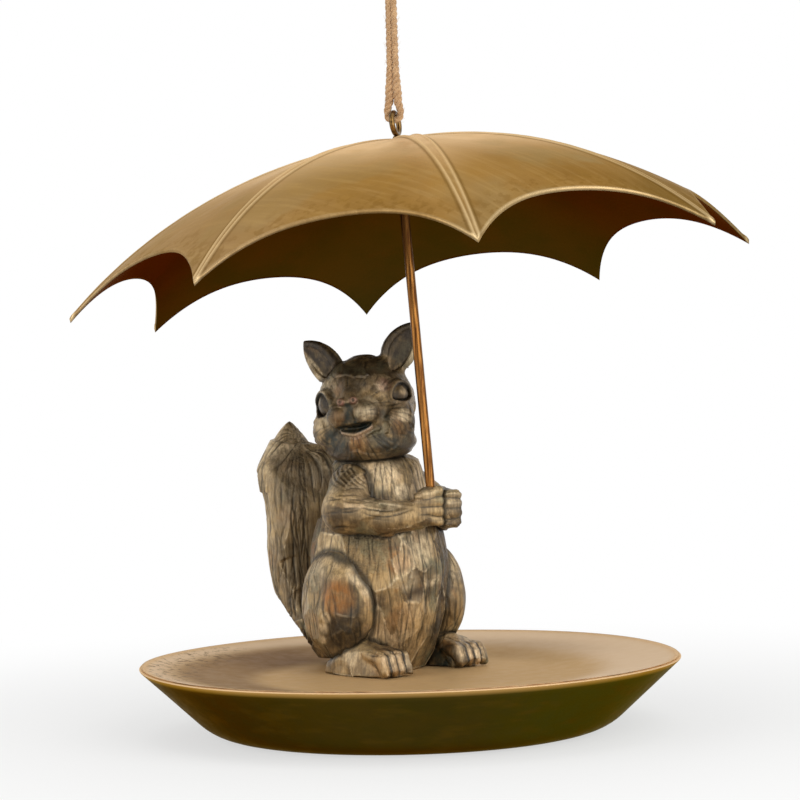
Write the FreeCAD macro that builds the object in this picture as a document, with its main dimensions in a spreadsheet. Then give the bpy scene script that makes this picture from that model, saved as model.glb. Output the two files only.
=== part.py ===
import FreeCAD, Part
import math
import os

from FreeCAD import Placement, Rotation, Vector

# Hanging bird feeder: a squirrel figure in a round dish holds an umbrella canopy on a rod.
# Frame: millimetres, origin in the middle of the dish's base, Z up, the figure's body faces -Y.

SIZES = {
    # dish
    "dish_radius": 104.0,
    "dish_height": 27.0,
    "dish_depth": 6.4,
    "dish_foot_radius": 75.0,
    "dish_heel_round": 20.0,
    "lip_width": 3.2,
    "floor_radius": 57.0,
    "floor_thickness": 6.0,
    "base_ring_width": 20.0,
    # figure
    "figure_x": 13.7,
    "figure_y": 27.1,
    "torso_radius": 27.0,
    "torso_height": 84.0,
    "head_radius": 19.5,
    "head_turn": -62.0,
    "head_tilt": -8.0,
    "tail_height": 99.0,
    "tail_width": 17.5,
    "foot_length": 42.0,
    "foot_width": 17.0,
    "arm_radius": 6.4,
    # rod, canopy and hanging eye
    "pole_diameter": 3.6,
    "pole_lean": 4.65,
    "canopy_lean": 7.05,
    "lean_bearing": 101.0,
    "crown_height": 204.85,
    "canopy_radius": 133.6,
    "canopy_drop": 53.8,
    "canopy_thickness": 1.2,
    "scallop_depth": 13.3,
    "rib_phase": 9.25,
    "rib_radius": 1.3,
    "hub_diameter": 9.0,
    "hub_length": 13.0,
    "shank_diameter": 3.0,
    "eye_wire": 2.2,
    "eye_ring_radius": 4.2,
    "eye_bearing": -63.0,
    # cord
    "cord_diameter": 2.6,
    "cord_run": 60.0,
    "loop_radius": 7.0,
    "loop_rise": 24.0,
    # hardware
    "screw_diameter": 4.0,
    "screw_spacing": 20.0,
    "insert_diameter": 6.0,
    "insert_length": 9.0,
    "pin_diameter": 4.0,
    "pin_length": 14.0,
}

RIBS = 8
SCREW_PLAY = 0.2
HUB_PLAY = 0.05
EYE_PLAY = 0.35
LEG_GAP = 0.1
# How far a cutting solid runs past the face that it cuts.
CUT_PAST = 1.0
FLOOR_LEVEL = "(Sizes.dish_height - Sizes.dish_depth)"

doc = FreeCAD.newDocument("squirrel_feeder")
sheet = doc.addObject("Spreadsheet::Sheet", "Sizes")
for row, (alias, number) in enumerate(SIZES.items(), start=1):
    sheet.set("A%d" % row, alias)
    sheet.set("B%d" % row, str(number))
    sheet.setAlias("B%d" % row, alias)
doc.recompute()


def size(alias):
    """The number that the sheet holds under this name."""
    return float(sheet.get(alias))


def bind(item, **expressions):
    """Tie properties to the sheet; a_b in a keyword stands for the property path a.b."""
    for key, text in expressions.items():
        item.setExpression(key.replace("_", ".") if key.startswith("Placement") else key, str(text))


def place(item, x, y, z):
    """Tie the three coordinates of an object to the sheet."""
    bind(item, Placement_Base_x=x, Placement_Base_y=y, Placement_Base_z=z)


def at_figure(side, forward, height):
    """Sheet expressions for a point given in the figure's own frame."""
    return (
        "Sizes.figure_x + (%s)" % side,
        "Sizes.figure_y - (%s)" % forward,
        "%s + (%s)" % (FLOOR_LEVEL, height),
    )


def cone(name, lower, upper, bottom, tall):
    item = doc.addObject("Part::Cone", name)
    bind(item, Radius1=lower, Radius2=upper, Height=tall)
    place(item, "0", "0", bottom)
    return item


def ellipsoid(name, point, radii):
    """An ellipsoid with radii given along X, Y and Z."""
    item = doc.addObject("Part::Ellipsoid", name)
    item.Angle1 = -90
    item.Angle2 = 90
    item.Angle3 = 360
    bind(item, Radius1=radii[2], Radius2=radii[0], Radius3=radii[1])
    place(item, *point)
    return item


def loft(name, sections):
    """A solid through level ellipses; each is a point and two radii, along X and Y."""
    rings = []
    for number, (point, wide, deep) in enumerate(sections, start=1):
        ring = doc.addObject("Part::Ellipse", "%s_ring%d" % (name, number))
        bind(ring, MajorRadius=wide, MinorRadius=deep)
        place(ring, *point)
        rings.append(ring)
    item = doc.addObject("Part::Loft", name)
    item.Sections = rings
    item.Solid = True
    return item


def fuse(name, items):
    item = doc.addObject("Part::MultiFuse", name)
    item.Shapes = items
    return item


def cut(name, base, tools):
    """The base less the tools, one after another."""
    for number, tool in enumerate(tools, start=1):
        last = number == len(tools)
        item = doc.addObject("Part::Cut", name if last else "%s_cut%d" % (name, number))
        item.Base = base
        item.Tool = tool
        item.Refine = last
        base = item
    return base


def feature(name, shape):
    item = doc.addObject("Part::Feature", name)
    item.Shape = shape
    return item


def rounded(name, base, wanted):
    """Round the circular edges of a base; wanted holds (edge radius, edge height, round)."""
    doc.recompute()
    edges = []
    for number, edge in enumerate(base.Shape.Edges, start=1):
        if not isinstance(edge.Curve, Part.Circle):
            continue
        for radius, height, amount in wanted:
            same = abs(edge.Curve.Radius - radius) < 1e-4
            if same and abs(edge.Curve.Center.z - height) < 1e-4:
                edges.append((number, amount, amount))
    assert len(edges) == len(wanted), "%s: found %d of %d edges" % (name, len(edges), len(wanted))
    item = doc.addObject("Part::Fillet", name)
    item.Base = base
    item.Edges = edges
    return item


# Dish: a thick casting, shallow on top, cored underneath.
dish_outer = cone("dish_outer", "Sizes.dish_foot_radius", "Sizes.dish_radius", "0", "Sizes.dish_height")
dish_hollow = cone(
    "dish_hollow",
    "Sizes.floor_radius",
    "Sizes.dish_radius - Sizes.lip_width",
    FLOOR_LEVEL,
    "Sizes.dish_depth",
)
RECESS_DRAFT = 2.0
dish_recess = cone(
    "dish_recess",
    "Sizes.dish_foot_radius - Sizes.base_ring_width",
    "Sizes.dish_foot_radius - Sizes.base_ring_width - %g" % RECESS_DRAFT,
    "0",
    FLOOR_LEVEL + " - Sizes.floor_thickness",
)
# The outer round takes this share of the lip's width, whatever the slope of the wall.
LIP_OUTER_SHARE = 0.76
wall_slope = math.atan2(size("dish_height"), size("dish_radius") - size("dish_foot_radius"))
lip_outer_round = LIP_OUTER_SHARE * size("lip_width") * math.tan(wall_slope / 2)
dish_blank = cut("dish_blank", dish_outer, [dish_hollow, dish_recess])
dish_round = rounded(
    "dish_round",
    dish_blank,
    [
        (size("dish_foot_radius"), 0.0, size("dish_heel_round")),
        (size("dish_radius"), size("dish_height"), lip_outer_round),
        (size("dish_radius") - size("lip_width"), size("dish_height"), size("lip_width")),
    ],
)

# Screws from below, with washers under their heads and brass inserts in the figure.
SCREW_SIDES = ("-0.5 * Sizes.screw_spacing", "0.5 * Sizes.screw_spacing")
SCREW_RADIUS = "0.5 * Sizes.screw_diameter"
SCREW_HOLE = "0.5 * Sizes.screw_diameter + %g" % SCREW_PLAY
HEAD_RADIUS = "0.95 * Sizes.screw_diameter"
HEAD_HEIGHT = "0.65 * Sizes.screw_diameter"
SOCKET_RADIUS = "0.3 * Sizes.screw_diameter"
SOCKET_DEPTH = "0.4 * Sizes.screw_diameter"
WASHER_RADIUS = "1.15 * Sizes.screw_diameter"
WASHER = 0.8
INSERT_RADIUS = "0.5 * Sizes.insert_diameter"


def cylinder(name, radius, tall, point):
    item = doc.addObject("Part::Cylinder", name)
    bind(item, Radius=radius, Height=tall)
    place(item, *point)
    return item


def at_screw(side, height):
    return at_figure(side, "0", height)


screw_items, washer_items, insert_items, screw_holes, insert_holes = [], [], [], [], []
for number, side in enumerate(SCREW_SIDES, start=1):
    floor_under = "0 - Sizes.floor_thickness"
    washer_under = "%s - %g" % (floor_under, WASHER)
    head_under = "%s - %s" % (washer_under, HEAD_HEIGHT)
    shank = cylinder(
        "screw_shank%d" % number,
        SCREW_RADIUS,
        "Sizes.floor_thickness + %g + Sizes.insert_length - %g" % (WASHER, CUT_PAST),
        at_screw(side, washer_under),
    )
    screw_head = cylinder("screw_head%d" % number, HEAD_RADIUS, HEAD_HEIGHT, at_screw(side, head_under))
    socket = cylinder("screw_socket%d" % number, SOCKET_RADIUS, SOCKET_DEPTH, at_screw(side, head_under))
    solid = fuse("screw_solid%d" % number, [shank, screw_head])
    screw_items.append(cut("screw%d" % number, solid, [socket]))
    screw_holes.append(
        cylinder(
            "screw_hole%d" % number,
            SCREW_HOLE,
            "Sizes.floor_thickness + %g" % (2 * CUT_PAST),
            at_screw(side, "%s - %g" % (floor_under, CUT_PAST)),
        )
    )
    disc = cylinder("washer_disc%d" % number, WASHER_RADIUS, str(WASHER), at_screw(side, washer_under))
    bore = cylinder(
        "washer_bore%d" % number,
        SCREW_HOLE,
        str(WASHER + 2 * CUT_PAST),
        at_screw(side, "%s - %g" % (washer_under, CUT_PAST)),
    )
    washer_items.append(cut("washer%d" % number, disc, [bore]))
    sleeve = cylinder("insert_sleeve%d" % number, INSERT_RADIUS, "Sizes.insert_length", at_screw(side, "0"))
    thread = cylinder(
        "insert_thread%d" % number,
        SCREW_RADIUS,
        "Sizes.insert_length + %g" % (2 * CUT_PAST),
        at_screw(side, "-%g" % CUT_PAST),
    )
    insert_items.append(cut("insert%d" % number, sleeve, [thread]))
    insert_holes.append(
        cylinder(
            "insert_hole%d" % number,
            INSERT_RADIUS,
            "Sizes.insert_length + %g" % CUT_PAST,
            at_screw(side, "-%g" % CUT_PAST),
        )
    )

dish = cut("dish", dish_round, screw_holes)
base_screws = fuse("base_screws", screw_items)
base_washers = fuse("base_washers", washer_items)
base_inserts = fuse("base_inserts", insert_items)

# Rod: it runs from inside the right fist up to the hub under the canopy.
doc.recompute()
FLOOR = size("dish_height") - size("dish_depth")
FIGURE = Vector(size("figure_x"), size("figure_y"), FLOOR)
TORSO = size("torso_radius")
TALL = size("torso_height")
BEARING = math.radians(size("lean_bearing"))
LEAN_AXIS = Vector(-math.sin(BEARING), math.cos(BEARING), 0)
POLE_TURN = Rotation(LEAN_AXIS, size("pole_lean"))
CANOPY_TURN = Rotation(LEAN_AXIS, size("canopy_lean"))
UP = Vector(0, 0, 1)
POLE_UP = POLE_TURN.multVec(UP)
FIST_HEIGHT = 0.767 * TALL
SHANK_LENGTH = 0.5 * size("hub_length")
ROD_END_GAP = 1.0
CROWN_RISE = size("crown_height") - FIST_HEIGHT


def figure_point(side, forward, height):
    """A point in the figure's own frame: to its left, in front of it, above the dish floor."""
    return FIGURE + Vector(side, -forward, height)


GRIP = figure_point(0, 1.03 * TORSO, FIST_HEIGHT)
CROWN = GRIP + POLE_UP * (CROWN_RISE / POLE_UP.z)
POLE_RADIUS = 0.5 * size("pole_diameter")
fist_drop = 0.083 * TALL
pole_length = CROWN_RISE / POLE_UP.z - SHANK_LENGTH - ROD_END_GAP + fist_drop


def pole_shape(radius):
    rod = Part.makeCylinder(radius, pole_length)
    rod.Placement = Placement(GRIP - POLE_UP * fist_drop, POLE_TURN)
    return rod


pole = doc.addObject("Part::Cylinder", "pole")
bind(pole, Radius="0.5 * Sizes.pole_diameter")
pole.Height = pole_length
pole.Placement = Placement(GRIP - POLE_UP * fist_drop, POLE_TURN)

# Figure: torso and tail are lofts, the rest grows out of ellipsoids.
# Torso: level in torso heights, distance in front, half width and half depth in torso radii.
TORSO_RINGS = [
    (0.00, 0.00, 0.63, 0.56),
    (0.12, -0.04, 0.81, 0.78),
    (0.30, -0.06, 0.95, 0.94),
    (0.45, -0.07, 1.00, 1.00),
    (0.58, -0.09, 0.98, 0.98),
    (0.71, -0.07, 0.89, 0.87),
    (0.83, -0.06, 0.77, 0.73),
    (0.93, -0.07, 0.71, 0.66),
    (1.00, -0.09, 0.61, 0.56),
]
torso_loft = loft(
    "torso_loft",
    [
        (
            at_figure("0", "%g * Sizes.torso_radius" % forward, "%g * Sizes.torso_height" % level),
            "%g * Sizes.torso_radius" % wide,
            "%g * Sizes.torso_radius" % deep,
        )
        for level, forward, wide, deep in TORSO_RINGS
    ],
)

# Tail: level, distance behind the figure in torso radii, half width and half depth in tail widths.
TAIL_RINGS = [
    (0.03, -1.04, 0.46, 0.34),
    (0.12, -1.19, 0.63, 0.46),
    (0.22, -1.49, 0.80, 0.54),
    (0.32, -1.67, 0.89, 0.57),
    (0.45, -1.73, 0.91, 0.60),
    (0.61, -1.74, 0.97, 0.63),
    (0.76, -1.87, 1.00, 0.66),
    (0.87, -1.84, 0.76, 0.52),
    (0.95, -1.81, 0.43, 0.31),
    (1.00, -1.79, 0.09, 0.07),
]
tail_loft = loft(
    "tail_loft",
    [
        (
            at_figure("0", "%g * Sizes.torso_radius" % behind, "%g * Sizes.tail_height" % level),
            "%g * Sizes.tail_width" % wide,
            "%g * Sizes.tail_width" % deep,
        )
        for level, behind, wide, deep in TAIL_RINGS
    ],
)

# Haunches sit a little further forward on the left side.
haunch_solids = {}
for side, sign, forward in (("right", "-", -0.10), ("left", "", 0.10)):
    haunch_solids[side] = ellipsoid(
        side + "_haunch_solid",
        at_figure(
            sign + "0.815 * Sizes.torso_radius",
            "%g * Sizes.torso_radius" % forward,
            "0.32 * Sizes.torso_height",
        ),
        ("0.41 * Sizes.torso_radius", "0.65 * Sizes.torso_radius", "0.262 * Sizes.torso_height"),
    )

# Feet: half ellipsoids on the dish floor, with three toe grooves each.
TOE_SHARES = (-0.24, 0.0, 0.24)
TOE_GROOVE = 0.055
TOE_REACH = 0.14
FOOT_FORWARD = "0.333 * Sizes.torso_radius"
foot_solids = {}
for side, sign in (("right", "-"), ("left", "")):
    middle = sign + "0.77 * Sizes.torso_radius"
    whole = ellipsoid(
        side + "_foot_whole",
        at_figure(middle, FOOT_FORWARD, "0"),
        ("0.5 * Sizes.foot_width", "0.5 * Sizes.foot_length", "0.85 * Sizes.foot_width"),
    )
    tools = [doc.addObject("Part::Box", side + "_foot_under")]
    bind(tools[0], Length="2 * Sizes.foot_width", Width="2 * Sizes.foot_length", Height="Sizes.foot_width")
    place(
        tools[0],
        *at_figure(
            middle + " - Sizes.foot_width",
            FOOT_FORWARD + " + Sizes.foot_length",
            "0 - Sizes.foot_width",
        ),
    )
    for number, share in enumerate(TOE_SHARES, start=1):
        groove = doc.addObject("Part::Box", "%s_toe_groove%d" % (side, number))
        bind(
            groove,
            Length="%g * Sizes.foot_width" % TOE_GROOVE,
            Width="%g * Sizes.foot_length" % TOE_REACH,
            Height="Sizes.foot_width",
        )
        place(
            groove,
            *at_figure(
                "%s + %g * Sizes.foot_width" % (middle, share - 0.5 * TOE_GROOVE),
                "%s + 0.5 * Sizes.foot_length + %g" % (FOOT_FORWARD, CUT_PAST),
                "-%g" % CUT_PAST,
            ),
        )
        tools.append(groove)
    foot_solids[side] = cut(side + "_foot_solid", whole, tools)


# Arms: a chain of balls and tapering links from shoulder to fist.
# A link is a little thinner than its balls, so that each ball stays round.
LINK_SHARE = 0.97


def limb(points):
    """A fused chain through (point, radius) pairs."""
    solids = [Part.makeSphere(radius, point) for point, radius in points]
    for (start, first), (end, last) in zip(points, points[1:]):
        along = end - start
        solids.append(Part.makeCone(LINK_SHARE * first, LINK_SHARE * last, along.Length, start, along))
    return solids[0].fuse(solids[1:]).removeSplitter()


ARM = size("arm_radius")
ARM_CHAINS = {
    "right": [
        (figure_point(-0.65 * TORSO, 0.04 * TORSO, 0.857 * TALL), 1.45 * ARM),
        (figure_point(-0.94 * TORSO, 0.22 * TORSO, 0.756 * TALL), 1.36 * ARM),
        (figure_point(-0.62 * TORSO, 0.68 * TORSO, 0.716 * TALL), 1.02 * ARM),
        (GRIP + Vector(-1.17 * ARM, 0.28 * ARM, -0.56 * ARM), 0.96 * ARM),
    ],
    "left": [
        (figure_point(0.55 * TORSO, 0.0 * TORSO, 0.845 * TALL), 1.25 * ARM),
        (figure_point(0.88 * TORSO, 0.36 * TORSO, 0.735 * TALL), 1.22 * ARM),
        (figure_point(0.68 * TORSO, 0.76 * TORSO, 0.712 * TALL), 1.0 * ARM),
        (GRIP + Vector(1.50 * ARM, -0.08 * ARM, -0.56 * ARM), 0.94 * ARM),
    ],
}
# Fists: the middle from the grip and three radii, in arm radii.
FISTS = {
    "right": (Vector(-0.39, -0.03, 0.0), (1.09, 1.03, 1.30)),
    "left": (Vector(0.66, -0.50, -0.16), (0.87, 0.97, 1.31)),
}
arm_solids = {}
for side, chain in ARM_CHAINS.items():
    offset, radii = FISTS[side]
    middle = GRIP + offset * ARM
    fist = ellipsoid(
        side + "_fist",
        [str(number) for number in middle],
        ["%g * Sizes.arm_radius" % share for share in radii],
    )
    arm_solids[side] = fuse(side + "_arm_solid", [feature(side + "_arm_chain", limb(chain)), fist])

# Head: built about its own middle, then turned and tilted onto the neck.
HEAD = size("head_radius")
# Each lump: name, middle and three radii in head radii; the face looks along -Y.
HEAD_LUMPS = [
    ("skull", (0, 0, 0), (1.0, 0.97, 1.02)),
    ("muzzle", (0, -0.70, -0.20), (0.58, 0.56, 0.42)),
    ("jaw", (0.08, -0.38, -0.66), (0.80, 0.62, 0.41)),
    ("right_cheek", (-0.64, -0.42, -0.42), (0.45, 0.46, 0.46)),
    ("left_cheek", (0.64, -0.42, -0.42), (0.45, 0.46, 0.46)),
    ("nose", (0, -1.20, 0.04), (0.17, 0.13, 0.13)),
]
# Ears: level, half width and half depth in head radii, along the ear from inside the skull.
EAR_RINGS = [
    (-0.25, 0.36, 0.20),
    (0.00, 0.34, 0.19),
    (0.30, 0.27, 0.15),
    (0.58, 0.15, 0.09),
    (0.79, 0.03, 0.025),
]
EAR_SPLAY = 30.0
EAR_ROOT = (0.68, 0.15, 0.80)
head_items = []
for name, middle, radii in HEAD_LUMPS:
    head_items.append(
        ellipsoid(
            name,
            ["%g * Sizes.head_radius" % share for share in middle],
            ["%g * Sizes.head_radius" % share for share in radii],
        )
    )
for side, sign in (("right", -1), ("left", 1)):
    ear = loft(
        side + "_ear",
        [
            (
                ("0", "0", "%g * Sizes.head_radius" % level),
                "%g * Sizes.head_radius" % wide,
                "%g * Sizes.head_radius" % deep,
            )
            for level, wide, deep in EAR_RINGS
        ],
    )
    ear.Placement.Rotation = Rotation(Vector(0, 1, 0), sign * EAR_SPLAY)
    place(
        ear,
        "%g * Sizes.head_radius" % (sign * EAR_ROOT[0]),
        "%g * Sizes.head_radius" % EAR_ROOT[1],
        "%g * Sizes.head_radius" % EAR_ROOT[2],
    )
    head_items.append(ear)
head_solid = fuse("head_solid", head_items)
HEAD_MIDDLE = figure_point(-0.11 * TORSO, -0.14 * TORSO, TALL + HEAD)
head_solid.Placement = Placement(
    HEAD_MIDDLE,
    Rotation(UP, size("head_turn")).multiply(Rotation(Vector(0, 1, 0), size("head_tilt"))),
)

# Pins that hold the figure's castings together: where each one sits and which way it points.
PIN_SPOTS = [
    (figure_point(-0.09 * TORSO, -0.12 * TORSO, 0.988 * TALL), UP),
    (figure_point(0, -1.05 * TORSO, 0.21 * TALL), Vector(0, 1, 0)),
    (figure_point(-0.66 * TORSO, 0.0, 0.84 * TALL), Vector(1, 0, 0)),
    (figure_point(0.66 * TORSO, 0.0, 0.84 * TALL), Vector(1, 0, 0)),
    (figure_point(-0.86 * TORSO, -0.08 * TORSO, 0.31 * TALL), Vector(1, 0, 0)),
    (figure_point(0.86 * TORSO, 0.08 * TORSO, 0.31 * TALL), Vector(1, 0, 0)),
]
PIN_LENGTH = size("pin_length")
pin_items = []
for number, (spot, along) in enumerate(PIN_SPOTS, start=1):
    pin = doc.addObject("Part::Cylinder", "pin%d" % number)
    bind(pin, Radius="0.5 * Sizes.pin_diameter", Height="Sizes.pin_length")
    pin.Placement = Placement(spot - along * (0.5 * PIN_LENGTH), Rotation(UP, along))
    pin_items.append(pin)
dowel_pins = fuse("dowel_pins", pin_items)

# Each casting gives way to its larger neighbour, so that they meet face to face.
torso = cut("torso", torso_loft, [head_solid, *insert_holes, *pin_items])
head = cut("head", head_solid, [pin_items[0]])
right_haunch = cut("right_haunch", haunch_solids["right"], [torso_loft, pin_items[4]])
left_haunch = cut("left_haunch", haunch_solids["left"], [torso_loft, pin_items[5]])
tail = cut("tail", tail_loft, [torso_loft, *haunch_solids.values(), head_solid, pin_items[1]])
right_foot = cut("right_foot", foot_solids["right"], [torso_loft, haunch_solids["right"]])
left_foot = cut("left_foot", foot_solids["left"], [torso_loft, haunch_solids["left"]])
right_arm = cut("right_arm", arm_solids["right"], [torso_loft, head_solid, pole, pin_items[2]])
left_arm = cut(
    "left_arm", arm_solids["left"], [torso_loft, head_solid, pole, arm_solids["right"], pin_items[3]]
)


# Canopy: a thin spherical cap with a scalloped edge and raised ribs, built about its crown.
RIM = size("canopy_radius")
DROP = size("canopy_drop")
SHEET = size("canopy_thickness")
SHANK = 0.5 * size("shank_diameter")
DOME = "(Sizes.canopy_radius^2 + Sizes.canopy_drop^2) / (2 * Sizes.canopy_drop)"
DOME_RADIUS = (RIM**2 + DROP**2) / (2 * DROP)
DOME_MIDDLE = Vector(0, 0, -DOME_RADIUS)
STEP = 360.0 / RIBS
RIB_LIFT = 0.3
RIB_START = 6.0
RIB_REACH = 0.985
BEAD_SHARE = 1.2


def sphere(name, radius, middle):
    item = doc.addObject("Part::Sphere", name)
    bind(item, Radius=radius)
    item.Placement = Placement(middle, Rotation())
    return item


def upright(name, radius, bottom, top, middle=0.0):
    """An upright cylinder of the canopy's own frame; middle is its distance from the axis along X."""
    item = doc.addObject("Part::Cylinder", name)
    item.Radius = radius
    item.Height = top - bottom
    item.Placement = Placement(Vector(middle, 0, bottom), Rotation())
    return item


def turned(item, angle):
    """The same item, turned about the canopy's axis."""
    turn = Placement(Vector(), Rotation(UP, angle))
    item.Placement = turn.multiply(item.Placement)
    return item


# The spheres' own seams are turned to lie midway between two ribs.
SEAM = size("rib_phase") + STEP / 2
dome_outside = turned(sphere("dome_outside", DOME, DOME_MIDDLE), SEAM)
dome_inside = turned(sphere("dome_inside", DOME + " - Sizes.canopy_thickness", DOME_MIDDLE), SEAM)
dome_shell = cut("dome_shell", dome_outside, [dome_inside])
canopy_disc = doc.addObject("Part::Common", "canopy_disc")
canopy_disc.Base = dome_shell
canopy_disc.Tool = upright("canopy_limit", RIM, -1.5 * DROP, CUT_PAST)

half_chord = RIM * math.sin(math.radians(STEP / 2))
scallop_depth = size("scallop_depth")
scallop_radius = (half_chord**2 + scallop_depth**2) / (2 * scallop_depth)
scallop_middle = RIM * math.cos(math.radians(STEP / 2)) - scallop_depth + scallop_radius
rib_low = math.degrees(math.asin(RIB_START / DOME_RADIUS))
rib_high = math.degrees(math.asin(RIB_REACH * RIM / DOME_RADIUS))
RIB_LINE = DOME_RADIUS + RIB_LIFT


def on_rib(angle):
    """A point on the middle line of the rib along X, at an angle from the crown."""
    return DOME_MIDDLE + Rotation(Vector(0, 1, 0), angle).multVec(Vector(0, 0, RIB_LINE))


canopy_cuts, canopy_ribs = [upright("canopy_hole", SHANK + HUB_PLAY, -DROP, CUT_PAST)], []
for number in range(RIBS):
    phase = size("rib_phase") + number * STEP
    scallop = upright("scallop%d" % number, scallop_radius, -2 * DROP, CUT_PAST, scallop_middle)
    canopy_cuts.append(turned(scallop, phase + STEP / 2))
    rib = doc.addObject("Part::Torus", "rib%d" % number)
    bind(rib, Radius1="%s + %g" % (DOME, RIB_LIFT), Radius2="Sizes.rib_radius")
    rib.Angle3 = rib_high - rib_low
    lie = Rotation(Vector(0, 1, 0), rib_low - 90).multiply(Rotation(Vector(1, 0, 0), -90))
    rib.Placement = Placement(DOME_MIDDLE, lie)
    canopy_ribs.append(turned(rib, phase))
    bead = sphere("rib%d_bead" % number, "%g * Sizes.rib_radius" % BEAD_SHARE, on_rib(rib_high))
    canopy_ribs.append(turned(bead, phase))
canopy = fuse("canopy", [cut("canopy_sheet", canopy_disc, canopy_cuts), *canopy_ribs])
canopy.Placement = Placement(CROWN, CANOPY_TURN)

# Hub under the canopy: the rod screws in from below, the eye's shank from above.
hub_shape = Part.makeCylinder(
    0.5 * size("hub_diameter"), size("hub_length"), Vector(0, 0, -SHEET - HUB_PLAY - size("hub_length"))
)
hub_shape = hub_shape.cut(Part.makeCylinder(SHANK, SHANK_LENGTH, Vector(0, 0, -SHANK_LENGTH)))
hub_shape.Placement = Placement(CROWN, CANOPY_TURN)
crown_hub = feature("crown_hub", hub_shape.cut(pole_shape(POLE_RADIUS)))

# Hanging eye: a wire ring on a collar and a threaded shank.
WIRE = 0.5 * size("eye_wire")
RING = size("eye_ring_radius")
COLLAR_HEIGHT = 2.2
COLLAR_SPREAD = 1.1
NECK_HEIGHT = 0.6 * WIRE
ring_height = COLLAR_HEIGHT + RING + NECK_HEIGHT
ring = Part.makeTorus(RING, WIRE, Vector(0, 0, ring_height), Vector(1, 0, 0))
collar = Part.makeCone(SHANK + COLLAR_SPREAD, SHANK, COLLAR_HEIGHT)
shank = Part.makeCylinder(SHANK, SHANK_LENGTH, Vector(0, 0, -SHANK_LENGTH))
neck = Part.makeCylinder(WIRE, NECK_HEIGHT, Vector(0, 0, COLLAR_HEIGHT))
eye_shape = ring.fuse([collar, shank, neck])
EYE_TURN = CANOPY_TURN.multiply(Rotation(UP, size("eye_bearing")))
eye_shape.Placement = Placement(CROWN, EYE_TURN)
hanging_eye = feature("hanging_eye", eye_shape)

# Cord: doubled through the eye, taut and upright, tied in a knot with a loop above it.
CORD = 0.5 * size("cord_diameter")
eye_top = CROWN + EYE_TURN.multVec(Vector(0, 0, ring_height + RING))
across = EYE_TURN.multVec(Vector(1, 0, 0))
across = Vector(across.x, across.y, 0).normalize()
bight_radius = WIRE + CORD + EYE_PLAY
leg_offset = CORD + 0.5 * LEG_GAP
TAPER = 18.0
BEND = 12.0


def cord_point(side, height):
    """A point of the cord's own upright plane, measured from the middle of the ring's top wire."""
    return eye_top + across * side + UP * height


def pipe(wire_edges, radius):
    """A round tube along straight runs and tangent arcs."""
    path = Part.Wire(wire_edges)
    first = path.Edges[0]
    start = first.valueAt(first.FirstParameter)
    way = first.tangentAt(first.FirstParameter)
    ring_wire = Part.Wire([Part.makeCircle(radius, start, way)])
    solid = path.makePipeShell([ring_wire], True, False)
    wanted = math.pi * radius**2 * path.Length
    print("tube length %.2f, volume %.2f, section times length %.2f" % (path.Length, solid.Volume, wanted))
    assert abs(solid.Volume - wanted) < 0.01 * wanted
    return solid


def arc(start, middle, end):
    return Part.Arc(start, middle, end).toShape()


def line(start, end):
    return Part.LineSegment(start, end).toShape()


# The legs leave the bight at a small angle and come upright side by side.
slant = math.asin((bight_radius - leg_offset) / TAPER)
bend_reach = BEND * math.tan(slant / 2)
join = (leg_offset, TAPER)
turn_low = (join[0] + bend_reach * math.sin(slant), join[1] - bend_reach * math.cos(slant))
turn_high = (join[0], join[1] + bend_reach)
turn_middle = (
    leg_offset + BEND - BEND * math.cos(slant / 2),
    turn_high[1] - BEND * math.sin(slant / 2),
)
tangent = (bight_radius * math.cos(slant), bight_radius * math.sin(slant))


def mirrored(spot):
    return cord_point(-spot[0], spot[1])


def plain(spot):
    return cord_point(spot[0], spot[1])


CORD_TOP = size("cord_run")
legs = [
    line(cord_point(-leg_offset, CORD_TOP), mirrored(turn_high)),
    arc(mirrored(turn_high), mirrored(turn_middle), mirrored(turn_low)),
    line(mirrored(turn_low), mirrored(tangent)),
    arc(mirrored(tangent), cord_point(0, -bight_radius), plain(tangent)),
    line(plain(tangent), plain(turn_low)),
    arc(plain(turn_low), plain(turn_middle), plain(turn_high)),
    line(plain(turn_high), cord_point(leg_offset, CORD_TOP)),
]
print("cord radii: bight %.2f, bends %.2f, cord %.2f" % (bight_radius, BEND, CORD))
cord_legs = feature("cord_legs", pipe(legs, CORD))

# Knot: a short bound barrel; the loop leaves it upwards.
KNOT_HEIGHT = 4.2 * size("cord_diameter")
KNOT_RADIUS = 1.7 * size("cord_diameter")
knot_middle = cord_point(0, CORD_TOP + 0.5 * KNOT_HEIGHT)
knot_shape = Part.makeCylinder(KNOT_RADIUS, KNOT_HEIGHT, knot_middle - UP * (0.5 * KNOT_HEIGHT))
round_edges = [edge for edge in knot_shape.Edges if isinstance(edge.Curve, Part.Circle)]
cord_knot = feature("cord_knot", knot_shape.makeFillet(0.3 * KNOT_RADIUS, round_edges))

# Loop: two runs that open from the knot and close in an arc at the top.
LOOP_RADIUS = size("loop_radius")
LOOP_RISE = size("loop_rise")
loop_bottom = CORD_TOP + KNOT_HEIGHT
loop_middle = loop_bottom + LOOP_RISE
loop_gap = math.hypot(leg_offset, LOOP_RISE)
lean_out = math.asin(LOOP_RADIUS / loop_gap) - math.atan2(leg_offset, LOOP_RISE)
loop_side = (LOOP_RADIUS * math.cos(lean_out), loop_middle - LOOP_RADIUS * math.sin(lean_out))
# The runs start a cord's radius inside the knot and are cut off at its top.
loop_foot = (
    leg_offset - CORD * math.tan(lean_out),
    loop_bottom - CORD,
)
loop = [
    line(mirrored(loop_foot), mirrored(loop_side)),
    arc(mirrored(loop_side), cord_point(0, loop_middle + LOOP_RADIUS), plain(loop_side)),
    line(plain(loop_side), plain(loop_foot)),
]
print("loop radius %.2f" % LOOP_RADIUS)
cord_loop = feature("cord_loop", pipe(loop, CORD).cut(cord_knot.Shape))

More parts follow.
